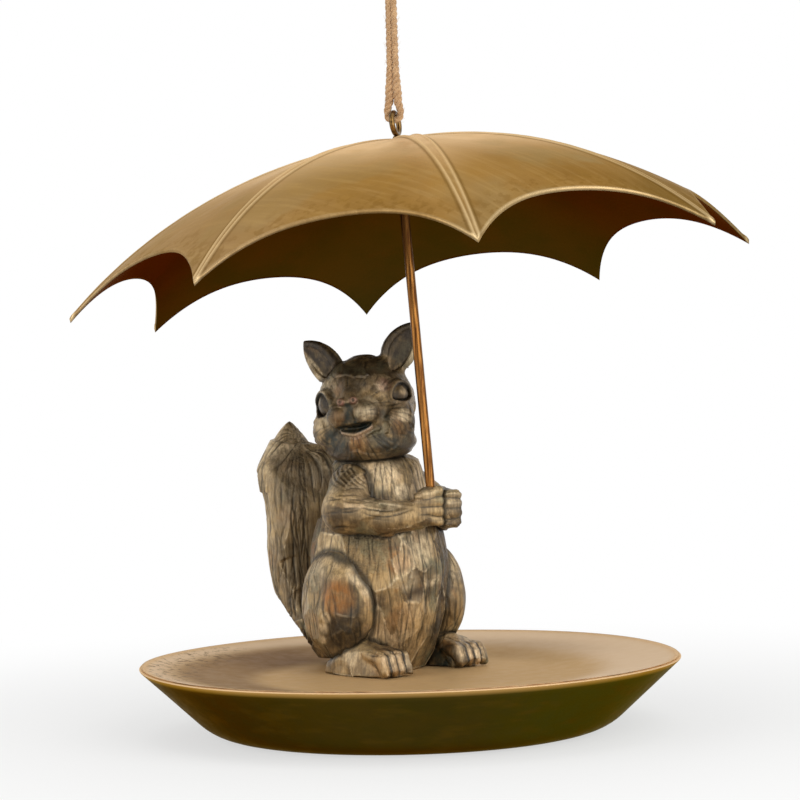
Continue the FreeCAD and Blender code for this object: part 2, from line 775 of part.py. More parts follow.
NODES = [
    dish, torso, head, tail, right_arm, left_arm, right_haunch, left_haunch, right_foot, left_foot,
    dowel_pins, base_screws, base_washers, base_inserts, pole, canopy, crown_hub, hanging_eye,
    cord_legs, cord_knot, cord_loop,
]
doc.recompute()
for item in doc.Objects:
    bad = [state for state in item.State if state in ("Invalid", "Error")]
    assert not bad, "%s is %s" % (item.Name, bad)
os.makedirs("parts", exist_ok=True)
for item in NODES:
    shape = item.Shape
    assert not shape.isNull() and shape.isValid(), item.Label + " has no valid shape"
    print("%-14s solids %d volume %.1f" % (item.Label, len(shape.Solids), shape.Volume))
    shape.exportStep("parts/%s.step" % item.Label)
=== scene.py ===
import math
from functools import partial

import bpy
import numpy as np
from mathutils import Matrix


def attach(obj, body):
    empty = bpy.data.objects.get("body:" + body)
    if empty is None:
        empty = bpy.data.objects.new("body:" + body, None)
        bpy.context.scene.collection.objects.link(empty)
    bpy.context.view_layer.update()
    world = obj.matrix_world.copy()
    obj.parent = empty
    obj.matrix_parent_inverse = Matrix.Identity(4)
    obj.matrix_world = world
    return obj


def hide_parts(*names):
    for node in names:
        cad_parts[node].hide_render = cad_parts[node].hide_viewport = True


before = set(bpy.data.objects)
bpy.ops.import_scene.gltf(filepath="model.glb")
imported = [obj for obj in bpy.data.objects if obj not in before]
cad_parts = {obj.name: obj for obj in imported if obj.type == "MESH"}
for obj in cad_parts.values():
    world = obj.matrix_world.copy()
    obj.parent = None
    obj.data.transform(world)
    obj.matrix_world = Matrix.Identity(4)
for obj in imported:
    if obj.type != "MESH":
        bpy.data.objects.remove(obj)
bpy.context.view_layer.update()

import openvdb
from mathutils import Matrix, Vector

# Squirrel figure bird feeder, dressed for rendering. Metres, in the frame of the solids:
# origin in the middle of the dish's base, Z up, the figure's body faces -Y.
# Shapes are worked out in millimetres and scaled once, when a mesh is made.

MM = 0.001
UP = np.array([0.0, 0.0, 1.0])

# Sizes repeated from the solids, in millimetres.
DISH_RADIUS = 104.0
DISH_HEIGHT = 27.0
DISH_DEPTH = 6.4
DISH_FOOT = 75.0
LIP = 3.2
FLOOR_RADIUS = 57.0
FLOOR_THICKNESS = 6.0
BASE_RING = 20.0
FLOOR = DISH_HEIGHT - DISH_DEPTH
FIGURE = np.array([13.7, 27.1, FLOOR])
TORSO = 27.0
TALL = 84.0
HEAD = 19.5
HEAD_TURN = -62.0
HEAD_TILT = -8.0
TAIL_TALL = 99.0
TAIL_WIDE = 17.5
ARM = 6.4
FOOT_LONG = 42.0
FOOT_WIDE = 17.0
CROWN = np.array([11.521, 10.502, 225.45])
GRIP = np.array([13.7, -0.71, 85.03])
CANOPY_LEAN = 7.05
LEAN_BEARING = 101.0
CANOPY_RADIUS = 133.6
CANOPY_DROP = 53.8
CANOPY_SHEET = 1.2
SCALLOP_DEPTH = 13.3
RIB_PHASE = 9.25
RIBS = 8
EYE_TOP = np.array([11.257, 11.858, 236.625])
CORD_ACROSS = np.array([0.45579, -0.89009, 0.0])
CORD_DIAMETER = 2.6
EYE_WIRE_RADIUS = 1.1


def clamp01(value):
    return np.clip(value, 0.0, 1.0)


def smoothstep(low, high, value):
    share = clamp01((value - low) / (high - low))
    return share * share * (3 - 2 * share)


# Meshes


def linked(name, data):
    """A new object of the scene that holds the given data."""
    item = bpy.data.objects.new(name, data)
    bpy.context.scene.collection.objects.link(item)
    return item


def make_mesh(name, points, faces, *materials):
    """A smooth-shaded mesh object from points in millimetres."""
    data = bpy.data.meshes.new(name)
    corners = [list(map(int, face)) for face in faces]
    data.from_pydata((np.asarray(points) * MM).tolist(), [], corners)
    data.validate()
    data.polygons.foreach_set("use_smooth", [True] * len(data.polygons))
    for material in materials:
        data.materials.append(material)
    return linked(name, data)


def paint(item, name, values):
    """Store one number per point on a mesh, for its material to read."""
    layer = item.data.attributes.new(name, "FLOAT", "POINT")
    layer.data.foreach_set("value", np.asarray(values, dtype=np.float32))


def dress(item, node):
    """Let a piece of the feeder stand for a node: it joins the feeder's body and the node's part is
    hidden.
    """
    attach(item, "feeder")
    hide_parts(node)


def grid_faces(rows, columns, first=0):
    """Quads of a grid of points that is stored row by row, its last column joined to the first."""
    faces = []
    for row in range(rows - 1):
        here, above = first + row * columns, first + (row + 1) * columns
        for column in range(columns):
            right = (column + 1) % columns
            faces.append((here + column, here + right, above + right, above + column))
    return faces


def directions(path):
    """Unit vectors along a path, one at each of its points."""
    ways = np.gradient(path, axis=0)
    return ways / np.linalg.norm(ways, axis=1, keepdims=True)


def travelled(path):
    """Distance along a path from its start to each of its points."""
    return np.concatenate([[0.0], np.cumsum(np.linalg.norm(np.diff(path, axis=0), axis=1))])


def tube(path, radii, sides=8, turn=0.0):
    """Points and faces of a round tube along a path, with one radius for each of its points."""
    ways = directions(path)
    side = np.cross(ways[0], UP)
    if np.linalg.norm(side) < 0.1:
        side = np.cross(ways[0], [1.0, 0.0, 0.0])
    rings = []
    angles = turn + np.arange(sides) * 2 * math.pi / sides
    for point, way, radius in zip(path, ways, radii):
        side = side - way * (side @ way)
        side /= np.linalg.norm(side)
        other = np.cross(way, side)
        ring = np.outer(np.cos(angles), side) + np.outer(np.sin(angles), other)
        rings.append(point + radius * ring)
    points = np.concatenate(rings)
    faces = grid_faces(len(path), sides)
    faces.append(tuple(reversed(range(sides))))
    faces.append(tuple(range((len(path) - 1) * sides, len(path) * sides)))
    return points, faces


def joined(parts):
    """Several (points, faces) pairs as one."""
    points, faces, count = [], [], 0
    for some_points, some_faces in parts:
        points.append(np.asarray(some_points))
        faces.extend(tuple(index + count for index in face) for face in some_faces)
        count += len(some_points)
    return np.concatenate(points), faces


# Materials

# Sockets of a colour's Mix node: factor and the two colours, and the result.
MIX_COLOURS = (0, 6, 7)
MIX_RESULT = 2
RANGE_SOCKETS = ("From Min", "From Max", "To Min", "To Max")


def linear(red, green, blue):
    """A colour given as 0 to 255 screen values, as the linear colour that a shader takes."""
    shares = [value / 255 for value in (red, green, blue)]
    return tuple(s / 12.92 if s <= 0.04045 else ((s + 0.055) / 1.055) ** 2.4 for s in shares)


class Surface:
    """A node material with short builders; its base colour is laid on coat by coat."""

    def __init__(self, name, roughness, metallic=0.0, colour=(0, 0, 0)):
        self.material = bpy.data.materials.new(name)
        self.material.use_nodes = True
        self.tree = self.material.node_tree
        self.shader = self.tree.nodes["Principled BSDF"]
        self.set("Metallic", metallic)
        self.set("Roughness", roughness)
        self.place = self.node("ShaderNodeTexCoord").outputs["Object"]
        self.colour = linear(*colour)

    def feed(self, socket, value):
        """Link an output or a mask of the mesh to a socket, or set its number or colour."""
        if isinstance(value, str):
            value = self.node("ShaderNodeAttribute", attribute_name=value).outputs["Fac"]
        if isinstance(value, bpy.types.NodeSocket):
            self.tree.links.new(value, socket)
        elif isinstance(value, tuple):
            socket.default_value = value + (1.0,) * (len(socket.default_value) - len(value))
        else:
            socket.default_value = value

    def set(self, name, value):
        self.feed(self.shader.inputs[name], value)

    def node(self, kind, inputs=None, **settings):
        made = self.tree.nodes.new(kind)
        for key, value in settings.items():
            setattr(made, key, value)
        for socket, value in (inputs or {}).items():
            self.feed(made.inputs[socket], value)
        return made

    def noise(self, scale, detail, rough=0.55, turn=(0, 0, 0)):
        """Noise whose grains are 1/scale millimetres long; scale is one number or one per axis."""
        scales = scale if isinstance(scale, tuple) else (scale,) * 3
        mapping = {
            "Vector": self.place,
            "Scale": tuple(share / MM for share in scales),
            "Rotation": tuple(math.radians(angle) for angle in turn),
        }
        place = self.node("ShaderNodeMapping", mapping).outputs["Vector"]
        inputs = {"Vector": place, "Scale": 1.0, "Detail": detail, "Roughness": rough}
        return self.node("ShaderNodeTexNoise", inputs).outputs["Fac"]

    def between(self, value, ends, levels=(0.0, 1.0)):
        """A value eased from one range into another."""
        inputs = {"Value": value, **dict(zip(RANGE_SOCKETS, ends + levels))}
        made = self.node("ShaderNodeMapRange", inputs, interpolation_type="SMOOTHSTEP")
        return made.outputs["Result"]

    def clouds(self, scale, detail, ends, levels=(0.0, 1.0), rough=0.55, turn=(0, 0, 0)):
        """Noise eased from one range into another."""
        return self.between(self.noise(scale, detail, rough, turn), ends, levels)

    def times(self, first, second):
        made = self.node("ShaderNodeMath", {0: first, 1: second}, operation="MULTIPLY")
        return made.outputs["Value"]

    def coat(self, factor, *colour):
        """Lay a screen colour over the base colour by a factor."""
        inputs = dict(zip(MIX_COLOURS, (factor, self.colour, linear(*colour))))
        self.colour = self.node("ShaderNodeMix", inputs, data_type="RGBA").outputs[MIX_RESULT]

    def bump(self, height, distance, under=None):
        """A bump of a height in millimetres, over another bump if one is given."""
        inputs = {"Distance": distance * MM, "Strength": 1.0, "Height": height}
        if under is not None:
            inputs["Normal"] = under
        return self.node("ShaderNodeBump", inputs).outputs["Normal"]

    def uneven(self, *bumps):
        """Bumps over each other: scale and detail of the noise, and a height in millimetres."""
        normal = None
        for scale, detail, height in bumps:
            normal = self.bump(self.noise(scale, detail), height, normal)
        self.set("Normal", normal)

    def finished(self):
        self.set("Base Color", self.colour)
        return self.material


# Finishes


def canopy_outside():
    """Satin bronze-gold sheet: soft tonal patches with painted light and shade, painted highlights
    on ribs and edge, brushed streaks and a faint unevenness.
    """
    made = Surface("canopy_outside", 0.36, 1.0, (150, 116, 66))
    made.set("Specular Tint", linear(240, 214, 178))
    made.coat(made.clouds(0.02, 3.0, (0.36, 0.66)), 130, 97, 49)
    made.coat(made.times(made.clouds(0.008, 2.0, (0.36, 0.62)), 0.5), 152, 120, 72)
    # pale: painted light on the left side; crown: painted light, paler towards the top
    made.coat("pale", 154, 128, 94)
    made.coat("crown", 232, 204, 166)
    olive = made.clouds(0.03, 3.0, (0.46, 0.62), turn=(30, 60, 0))
    made.coat(made.times(olive, "olive"), 148, 132, 96)
    # dim: painted shade on the right side
    made.coat("dim", 86, 72, 40)
    streaks = made.clouds((0.45, 0.03, 0.05), 5.0, (0.45, 0.72), turn=(0, 0, 30))
    made.coat(made.times(streaks, 0.2), 186, 156, 106)
    smears = made.clouds((0.3, 0.3, 0.03), 4.0, (0.5, 0.6))
    made.coat(made.times(smears, "rim"), 104, 72, 24)
    # crest: painted highlight on the rib lines; foot: painted shade beside them
    made.coat("crest", 222, 196, 150)
    made.coat("foot", 92, 66, 28)
    # edge: painted highlight along the edge
    made.coat("edge", 214, 190, 146)
    made.set("Roughness", made.clouds(0.12, 4.0, (0.3, 0.7), (0.4, 0.52)))
    made.uneven((0.04, 2.0, 0.9), (1.4, 5.0, 0.025))
    return made.finished()


def canopy_underside():
    """Dark brown inside of the canopy, partly its own paint and partly painted shade, with cloudy
    olive and rust tints.
    """
    made = Surface("canopy_underside", 0.48, 1.0, (76, 55, 19))
    made.set("Specular Tint", linear(190, 148, 84))
    made.coat(made.clouds(0.03, 4.0, (0.35, 0.68)), 66, 54, 18)
    made.coat(made.clouds(0.07, 5.0, (0.56, 0.76), (0.0, 0.6)), 84, 54, 18)
    made.uneven((0.6, 5.0, 0.06))
    return made.finished()


def dish_inside():
    """Satin tan-gold bowl: painted light on the walls and painted shade in a trough, dark mottling
    on one side, and a painted highlight along the lip.
    """
    made = Surface("dish_tan_gold", 0.55, 0.4, (204, 170, 122))
    made.set("Specular Tint", linear(214, 178, 124))
    made.coat(made.clouds(0.018, 3.0, (0.34, 0.66)), 194, 160, 112)
    # wall: painted light on the walls; shade: painted shade in a trough
    made.coat("wall", 220, 194, 162)
    made.coat("shade", 122, 92, 58)
    spots = made.clouds((0.3, 0.3, 0.5), 6.0, (0.5, 0.6), rough=0.7)
    made.coat(made.times(spots, "mottle"), 88, 66, 38)
    # edge: painted highlight along the lip
    made.coat("edge", 214, 180, 136)
    made.set("Roughness", made.clouds(0.2, 5.0, (0.3, 0.7), (0.5, 0.62)))
    made.uneven((0.05, 2.0, 0.25), (1.1, 5.0, 0.012))
    return made.finished()


def dish_outside():
    """Dark brown-olive outside of the dish, darker than the inside partly as painted shade, greener
    on one side, with a painted highlight just under the lip.
    """
    made = Surface("dish_dark_olive", 0.4, 1.0, (72, 60, 27))
    made.set("Specular Tint", linear(190, 166, 108))
    made.coat(made.clouds((0.03, 0.03, 0.06), 4.0, (0.36, 0.66)), 65, 58, 26)
    made.coat("olive", 74, 78, 32)
    made.coat(made.clouds((0.05, 0.05, 0.2), 4.0, (0.5, 0.7), (0.0, 0.4)), 92, 72, 30)
    # edge: painted highlight just under the lip
    made.coat("edge", 186, 146, 86)
    made.set("Roughness", made.clouds(0.2, 5.0, (0.3, 0.7), (0.36, 0.46)))
    made.uneven((0.05, 2.0, 0.3), (1.1, 5.0, 0.03))
    return made.finished()


def rod_finish():
    """Copper-gold rod with pale streaks along its length, partly drawn grain and partly painted
    highlights.
    """
    made = Surface("rod_copper_gold", 0.32, 0.92, (84, 48, 18))
    made.coat(made.clouds((1.6, 1.6, 0.012), 4.0, (0.35, 0.66)), 148, 100, 47)
    made.coat(made.clouds(0.08, 4.0, (0.56, 0.76), (0.0, 0.5)), 84, 48, 20)
    made.uneven(((3.0, 3.0, 0.05), 4.0, 0.03))
    return made.finished()


def eye_finish():
    """Wire eye and hub: brassy metal with dark cloudy patches."""
    made = Surface("eye_brass", 0.26, 0.95, (120, 92, 52))
    made.coat(made.clouds(0.5, 5.0, (0.42, 0.68)), 44, 30, 14)
    made.uneven((2.0, 4.0, 0.03))
    return made.finished()


def plated(name, pale, dull, roughness):
    """Plain plated hardware with a fine brushed grain."""
    made = Surface(name, roughness, 1.0, pale)
    made.coat(made.clouds(0.8, 5.0, (0.4, 0.7)), *dull)
    made.uneven(((6.0, 1.0, 1.0), 4.0, 0.02))
    return made.finished()


def jute(name, pale, dark):
    """Dry twisted plant fibre: fine lengthwise grain and uneven tan."""
    made = Surface(name, 0.92, colour=dark)
    made.coat(made.clouds((7.0, 7.0, 1.6), 6.0, (0.34, 0.68), rough=0.7), *pale)
    made.coat(made.times(made.clouds(0.25, 3.0, (0.4, 0.7)), 0.45), 214, 178, 134)
    made.set("Sheen Weight", 0.25)
    made.uneven(((9.0, 9.0, 2.0), 5.0, 0.12))
    return made.finished()


def carved_bronze():
    """Antique bronze over carving: dark hollows, green-grey patina, copper and rubbed edges, with
    painted highlights and painted shade in places.
    """
    made = Surface("carved_bronze", 0.4, 0.42, (68, 52, 30))
    worn = made.clouds(0.3, 5.0, (0.34, 0.62), (0.35, 1.0), rough=0.6)

    def patch(mask, *colour, amount=1.0):
        made.coat(made.times(made.times(mask, worn), amount), *colour)

    made.coat(made.clouds(0.06, 5.0, (0.38, 0.62), rough=0.62), 176, 146, 98)
    patch("tone", 200, 170, 122, amount=0.6)
    made.coat(made.clouds(0.075, 5.0, (0.5, 0.66), (0.0, 0.6), 0.6, (10, 50, 20)), 114, 116, 90)
    made.coat(made.clouds(0.09, 5.0, (0.58, 0.7), (0.0, 0.6), 0.62, (40, 20, 70)), 142, 97, 50)
    patch("copper", 160, 104, 44)
    # dark: darker paint, partly painted shade
    patch("dark", 62, 46, 28)
    # pale: lighter paint, partly painted highlights
    patch("pale", 224, 200, 160)
    patch("pink", 146, 92, 82)
    grain = made.clouds((1.0, 1.0, 0.11), 6.0, (0.4, 0.62), rough=0.68)
    made.coat(made.times(grain, 0.46), 58, 44, 26)
    patch("teal", 30, 42, 38)
    made.coat(made.times("ridge", made.clouds(0.35, 5.0, (0.38, 0.62))), 240, 216, 174)
    # hollow: dark patina in grooves, and painted shade in creases where castings meet
    made.coat("hollow", 30, 27, 18)
    made.set("Roughness", made.clouds(0.4, 4.0, (0.3, 0.7), (0.33, 0.5)))
    fine = made.bump(made.noise((2.6, 2.6, 0.3), 6.0, 0.66), 0.2)
    pitted = made.bump(made.times(made.noise(1.1, 3.0), "stipple"), 1.1, fine)
    made.set("Normal", made.bump(made.noise(0.5, 5.0), 0.16, pitted))
    return made.finished()


CANOPY_TOP = canopy_outside()
CANOPY_UNDER = canopy_underside()
DISH_IN = dish_inside()
DISH_OUT = dish_outside()
ROD = rod_finish()
EYE_BRASS = eye_finish()
STEEL = plated("zinc_plate", (196, 196, 192), (148, 148, 146), 0.34)
BRASS = plated("insert_brass", (206, 168, 92), (168, 130, 66), 0.3)
JUTE = jute("jute", (214, 178, 134), (122, 82, 46))
JUTE_FIBRE = jute("jute_fibre", (226, 194, 152), (186, 148, 104))
BRONZE = carved_bronze()

for node_name, finish in {
    "pole": ROD,
    "crown_hub": EYE_BRASS,
    "hanging_eye": EYE_BRASS,
    "dowel_pins": STEEL,
    "base_screws": STEEL,
    "base_washers": STEEL,
    "base_inserts": BRASS,
}.items():
    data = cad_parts[node_name].data
    data.materials.clear()
    data.materials.append(finish)


# Camera, light and stage

AIM = Vector((0, 0, 0.1106))
CAMERA_DISTANCE = 1.1317
CAMERA_AZIMUTH = math.radians(-45.0)
CAMERA_RISE = math.radians(2.229)
CAMERA_ROLL = math.radians(-1.577)
CAMERA_LENS = 133.43
CAMERA_SENSOR = 36.0
CAMERA_SHIFT = (-0.0051, 0.0512)
back = Vector(
    (
        math.sin(CAMERA_AZIMUTH) * math.cos(CAMERA_RISE),
        -math.cos(CAMERA_AZIMUTH) * math.cos(CAMERA_RISE),
        math.sin(CAMERA_RISE),
    )
)
camera = linked("camera", bpy.data.cameras.new("camera"))
camera.data.lens = CAMERA_LENS
camera.data.sensor_width = CAMERA_SENSOR
camera.data.shift_x, camera.data.shift_y = CAMERA_SHIFT
camera.location = AIM + back * CAMERA_DISTANCE
camera.rotation_mode = "QUATERNION"
camera.rotation_quaternion = (-back).to_track_quat("-Z", "Y")
camera.rotation_quaternion.rotate(Matrix.Rotation(CAMERA_ROLL, 3, back).to_quaternion())
bpy.context.scene.camera = camera
bpy.context.scene.view_settings.view_transform = "Standard"

IMAGE_RIGHT = Vector((math.cos(CAMERA_AZIMUTH), math.sin(CAMERA_AZIMUTH), 0))


def soft_light(name, right, towards, height, width, power):
    """A large white lamp: to the photo's right, towards its camera and up, in metres."""
    data = bpy.data.lights.new(name, "AREA")
    data.size = width
    data.energy = power
    lamp = linked(name, data)
    flat = Vector((back.x, back.y, 0)).normalized()
    lamp.location = IMAGE_RIGHT * right + flat * towards + Vector((0, 0, height))
    lamp.rotation_mode = "QUATERNION"
    lamp.rotation_quaternion = (AIM - lamp.location).to_track_quat("-Z", "Y")


# Right, towards the camera, up and width in metres, and power in watts.
LAMPS = {
    "key": (0.7, 0.85, 0.6, 1.2, 11.5),
    "side": (-1.0, 0.45, 0.4, 1.2, 6.5),
    "top": (-0.1, -0.1, 1.2, 1.4, 2.0),
}
for lamp_name, settings in LAMPS.items():
    soft_light(lamp_name, *settings)


def shown_white(tree):
    """1 for rays that see white surroundings: from the camera, a reflection or through glass."""
    rays = tree.nodes.new("ShaderNodeLightPath")
    total = rays.outputs["Is Camera Ray"]
    for name in ("Is Glossy Ray", "Is Transmission Ray"):
        larger = tree.nodes.new("ShaderNodeMath")
        larger.operation = "MAXIMUM"
        tree.links.new(total, larger.inputs[0])
        tree.links.new(rays.outputs[name], larger.inputs[1])
        total = larger.outputs["Value"]
    return total


# Strength of the surroundings as a light and as they are seen.
LIGHT_LEVEL, SEEN_LEVEL = 0.6, 1.0
# The floor's half width in millimetres. Over these distances from the middle, in metres, it goes
# from a mix that still takes the shadow to plain white.
FLOOR_HALF = 6000.0
FLOOR_WHITENS = (0.12, 0.42)
FLOOR_MIX = (0.6, 1.0)


def studio_world():
    """White surroundings that light the object at a lower, plain level."""
    world = bpy.data.worlds.new("studio")
    bpy.context.scene.world = world
    world.use_nodes = True
    tree = world.node_tree
    plain = tree.nodes["Background"]
    plain.inputs["Color"].default_value = (1.0, 1.0, 1.0, 1.0)
    level = tree.nodes.new("ShaderNodeMapRange")
    level.inputs["To Min"].default_value = LIGHT_LEVEL
    level.inputs["To Max"].default_value = SEEN_LEVEL
    tree.links.new(shown_white(tree), level.inputs["Value"])
    tree.links.new(level.outputs["Result"], plain.inputs["Strength"])


def stage_floor():
    """A wide pale floor: white away from the object, and near it, it still takes the shadow."""
    made = Surface("pale_floor", 0.9, colour=(226, 226, 224))
    glow = made.node("ShaderNodeEmission")
    away = made.node("ShaderNodeVectorMath", {0: made.place}, operation="LENGTH")
    white = made.between(away.outputs["Value"], FLOOR_WHITENS, FLOOR_MIX)
    inputs = {
        "Fac": made.times(shown_white(made.tree), white),
        1: made.shader.outputs["BSDF"],
        2: glow.outputs["Emission"],
    }
    blend = made.node("ShaderNodeMixShader", inputs)
    made.feed(made.tree.nodes["Material Output"].inputs["Surface"], blend.outputs["Shader"])
    half = FLOOR_HALF
    corners = [(-half, -half, 0), (half, -half, 0), (half, half, 0), (-half, half, 0)]
    make_mesh("floor", corners, [(0, 1, 2, 3)], made.finished())


studio_world()
stage_floor()


# Rope

POINT_SPACING = 0.28
STRANDS = 3
STRAND_RADIUS = 0.71
STRAND_REACH = 0.62
LAY_LENGTH = 7.0
# Where along a leg it is fattest, how far that reaches, and by how much.
BULGE_AT, BULGE_LONG, LEG_BULGE = 12.5, 6.0, 0.4
# Uneven thickness along a strand: size, pace and shift from strand to strand.
SWELLS = ((0.06, 1.9, 2.1), (0.04, 4.7, 1.0))
# Turn of the strands from one stretch of cord to the next.
PHASE_STEP = 0.9
CORE_SHARE = 0.4
# Loose fibres: points in each, where they leave the rope's middle, how they rise and droop, and
# their radius from root to tip.
FIBRE_POINTS = 6
FIBRE_START, FIBRE_RISE, FIBRE_DROOP = 1.05, 0.75, 0.35
FIBRE_RADII = np.linspace(0.055, 0.025, FIBRE_POINTS)
# Length and first seed of the fibres on the cord, and number, length and seed on the knot.
FIBRE_REACH, FIBRE_SEED = 2.6, 40
KNOT_FIBRES = (70, 2.2, 53)


def in_rope(side, height):
    """A point of the rope's upright plane, measured from the middle of the ring's top wire."""
    return EYE_TOP + CORD_ACROSS * side + UP * height


def rope_curve(name, spots):
    """A free cord's route as a smooth NURBS spline through given control points."""
    data = bpy.data.curves.new(name, "CURVE")
    data.dimensions = "3D"
    data.resolution_u = 24
    spline = data.splines.new("NURBS")
    spline.points.add(len(spots) - 1)
    for point, spot in zip(spline.points, spots):
        point.co = (*(in_rope(*spot) * MM), 1.0)
    spline.order_u = 3
    spline.use_endpoint_u = True
    return linked(name, data)


def curve_points(item):
    """The points along a curve that has no bevel yet, in millimetres, evenly spaced."""
    mesh = bpy.data.meshes.new_from_object(item)
    line = np.array([vertex.co[:] for vertex in mesh.vertices]) / MM
    bpy.data.meshes.remove(mesh)
    lengths = travelled(line)
    places = np.linspace(0.0, lengths[-1], max(12, int(lengths[-1] / POINT_SPACING)))
    return np.stack([np.interp(places, lengths, line[:, axis]) for axis in range(3)], axis=1)


def side_frames(line):
    """Two directions square to a line at each of its points, carried along without twisting."""
    ways = directions(line)
    side = np.cross(ways[0], [0.3, 0.5, 0.8])
    first, second = [], []
    for way in ways:
        side = side - way * (side @ way)
        side /= np.linalg.norm(side)
        first.append(side)
        second.append(np.cross(way, side))
    return np.array(first), np.array(second)


def twisted(line, phase, bulge=0.0):
    """Three strands laid round a line, unevenly thick; bulge fattens them near its start."""
    first, second = side_frames(line)
    travel = travelled(line)
    fat = 1.0 + bulge * np.exp(-(((travel - BULGE_AT) / BULGE_LONG) ** 2))
    parts = []
    for strand in range(STRANDS):
        angle = phase + 2 * math.pi * (strand / STRANDS + travel / LAY_LENGTH)
        around = first * np.cos(angle)[:, None] + second * np.sin(angle)[:, None]
        middle = line + STRAND_REACH * fat[:, None] * around
        swell = fat
        for size, pace, shift in SWELLS:
            swell = swell + size * np.sin(travel * pace + strand * shift)
        parts.append(tube(middle, STRAND_RADIUS * swell, 8, strand))
    return parts


def fuzz(line, count, reach, seed):
    """Loose fibres that leave the rope at a slant and curl."""
    random = np.random.default_rng(seed)
    first, second = side_frames(line)
    ways = directions(line)
    steps = np.linspace(0.0, 1.0, FIBRE_POINTS)[:, None]
    parts = []
    for _ in range(count):
        at = random.integers(2, len(line) - 2)
        angle = random.uniform(0, 2 * math.pi)
        out = first[at] * math.cos(angle) + second[at] * math.sin(angle)
        aside = np.cross(out, ways[at])
        sense = random.choice([-1.0, 1.0])
        long = reach * random.uniform(0.35, 1.0)
        curl = random.uniform(-0.8, 0.8)
        path = (
            line[at]
            + out * (FIBRE_START + long * FIBRE_RISE * steps)
            + ways[at] * sense * long * random.uniform(0.3, 1.2) * steps
            + aside * curl * long * steps**2
            - out * long * FIBRE_DROOP * steps**2
        )
        parts.append(tube(path, FIBRE_RADII, 4))
    return parts


# The bight's middle line below the wire, half the legs' distance, and the knot's place and form.
BIGHT = CORD_DIAMETER / 2 + EYE_WIRE_RADIUS + 0.35
LEG = CORD_DIAMETER / 2 - 0.3
KNOT_BASE = 60.0
KNOT_TALL = 4.2 * CORD_DIAMETER
KNOT_TURNS = 4
KNOT_POINTS = 150
KNOT_REACH, KNOT_BELLY = 2.75, 0.35
# Control points of the right leg and of the loop: to the side and up, in millimetres.
LEG_SPOTS = [
    (0.0, -BIGHT),
    (2.4, -BIGHT),
    (2.75, 0.8),
    (1.7, 4.0),
    (1.4, 9.0),
    (LEG, 24.0),
    (LEG, KNOT_BASE + 1.0),
]
LOOP_HALF = [(LEG, 0.0), (2.4, 5.0), (6.9, 17.0), (8.4, 27.0), (4.4, 31.6)]
LOOP_SPOTS = [(-side, height) for side, height in LOOP_HALF] + LOOP_HALF[::-1]
LOOP_BASE = KNOT_BASE + KNOT_TALL - 0.6


def build_rope():
    """Two legs from the bight up to the knot, the knot's turns and the hanging loop."""
    strands = []
    routes = {
        "rope_leg_one": LEG_SPOTS,
        "rope_leg_two": [(-side, height) for side, height in LEG_SPOTS],
        "rope_loop": [(side, height + LOOP_BASE) for side, height in LOOP_SPOTS],
    }
    for number, (name, spots) in enumerate(routes.items()):
        core = rope_curve(name, spots)
        line = curve_points(core)
        bulge = 0.0 if name == "rope_loop" else LEG_BULGE
        turns = twisted(line, PHASE_STEP * number, bulge)
        laid = make_mesh(name + "_strands", *joined(turns), JUTE)
        fibres = fuzz(line, 3 * len(line) // 4, FIBRE_REACH, FIBRE_SEED + number)
        loose = make_mesh(name + "_fibres", *joined(fibres), JUTE_FIBRE)
        core.data.bevel_depth = CORE_SHARE * CORD_DIAMETER * MM
        core.data.bevel_resolution = 3
        core.data.use_fill_caps = True
        core.data.materials.append(JUTE)
        strands.append((core, line, laid, loose))
    angles = np.linspace(0.0, KNOT_TURNS * 2 * math.pi, KNOT_POINTS)
    rise = CORD_DIAMETER / 2 + (KNOT_TALL - CORD_DIAMETER) * angles / angles[-1]
    aside = np.cross(UP, CORD_ACROSS)
    reach = KNOT_REACH + KNOT_BELLY * np.sin(math.pi * angles / angles[-1])
    coil = (
        in_rope(0.0, KNOT_BASE)
        + np.outer(reach * np.cos(angles), CORD_ACROSS)
        + np.outer(reach * np.sin(angles), aside)
        + np.outer(rise, UP)
    )
    knot = make_mesh("rope_knot", *joined(twisted(coil, 0.3)), JUTE)
    knot_fibres = make_mesh("rope_knot_fibres", *joined(fuzz(coil, *KNOT_FIBRES)), JUTE_FIBRE)
    for piece in (knot, knot_fibres):
        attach(piece, "cord")
    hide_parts("cord_knot")
    for core, line, laid, loose in strands:
        for piece in (core, laid, loose):
            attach(piece, "cord")
    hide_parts("cord_legs")
    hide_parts("cord_loop")


build_rope()


# Dish


def smooth_profile(corners, spacing):
    """Points along an outline of (radius, height) corners, each rounded by its own amount."""
    outline = []
    for number, (spot, amount) in enumerate(corners):
        here = np.array(spot, dtype=float)
        if amount == 0:
            outline.append(here)
            continue
        before = np.array(corners[number - 1][0]) - here
        after = np.array(corners[number + 1][0]) - here
        start = here + before / np.linalg.norm(before) * amount
        end = here + after / np.linalg.norm(after) * amount
        for share in np.linspace(0.0, 1.0, 9):
            bent = (1 - share) ** 2 * start + 2 * share * (1 - share) * here + share**2 * end
            outline.append(bent)
    outline = np.array(outline)
    steps = np.linalg.norm(np.diff(outline, axis=0), axis=1)
    filled = [outline[:1]]
    for start, end, length in zip(outline, outline[1:], steps):
        count = max(1, int(length / spacing))
        filled.append(start + (end - start) * np.linspace(0, 1, count + 1)[1:, None])
    return np.concatenate(filled)


# The side of the dish that is mottled in the photo, as a direction from its middle.
MOTTLED_WAY = (-0.63, 0.77)
# Distances from the middle between which its paint changes, in millimetres: where the wall's
# painted light begins, how much closer to the right and how softly; the mottling; and the trough
# of painted shade.
WALL_AT, WALL_SHIFT, WALL_SOFT = 83.0, 9.0, 8.0
MOTTLE_FROM = (72.0, 88.0)
TROUGH_FROM, TROUGH_TO = (52.0, 66.0), (82.0, 97.0)
# Reach of the painted highlight along the lip, and the height of the cast surface's waves.
LIP_HIGHLIGHT = (0.9, 3.6)
WAVE_HIGH = 0.4


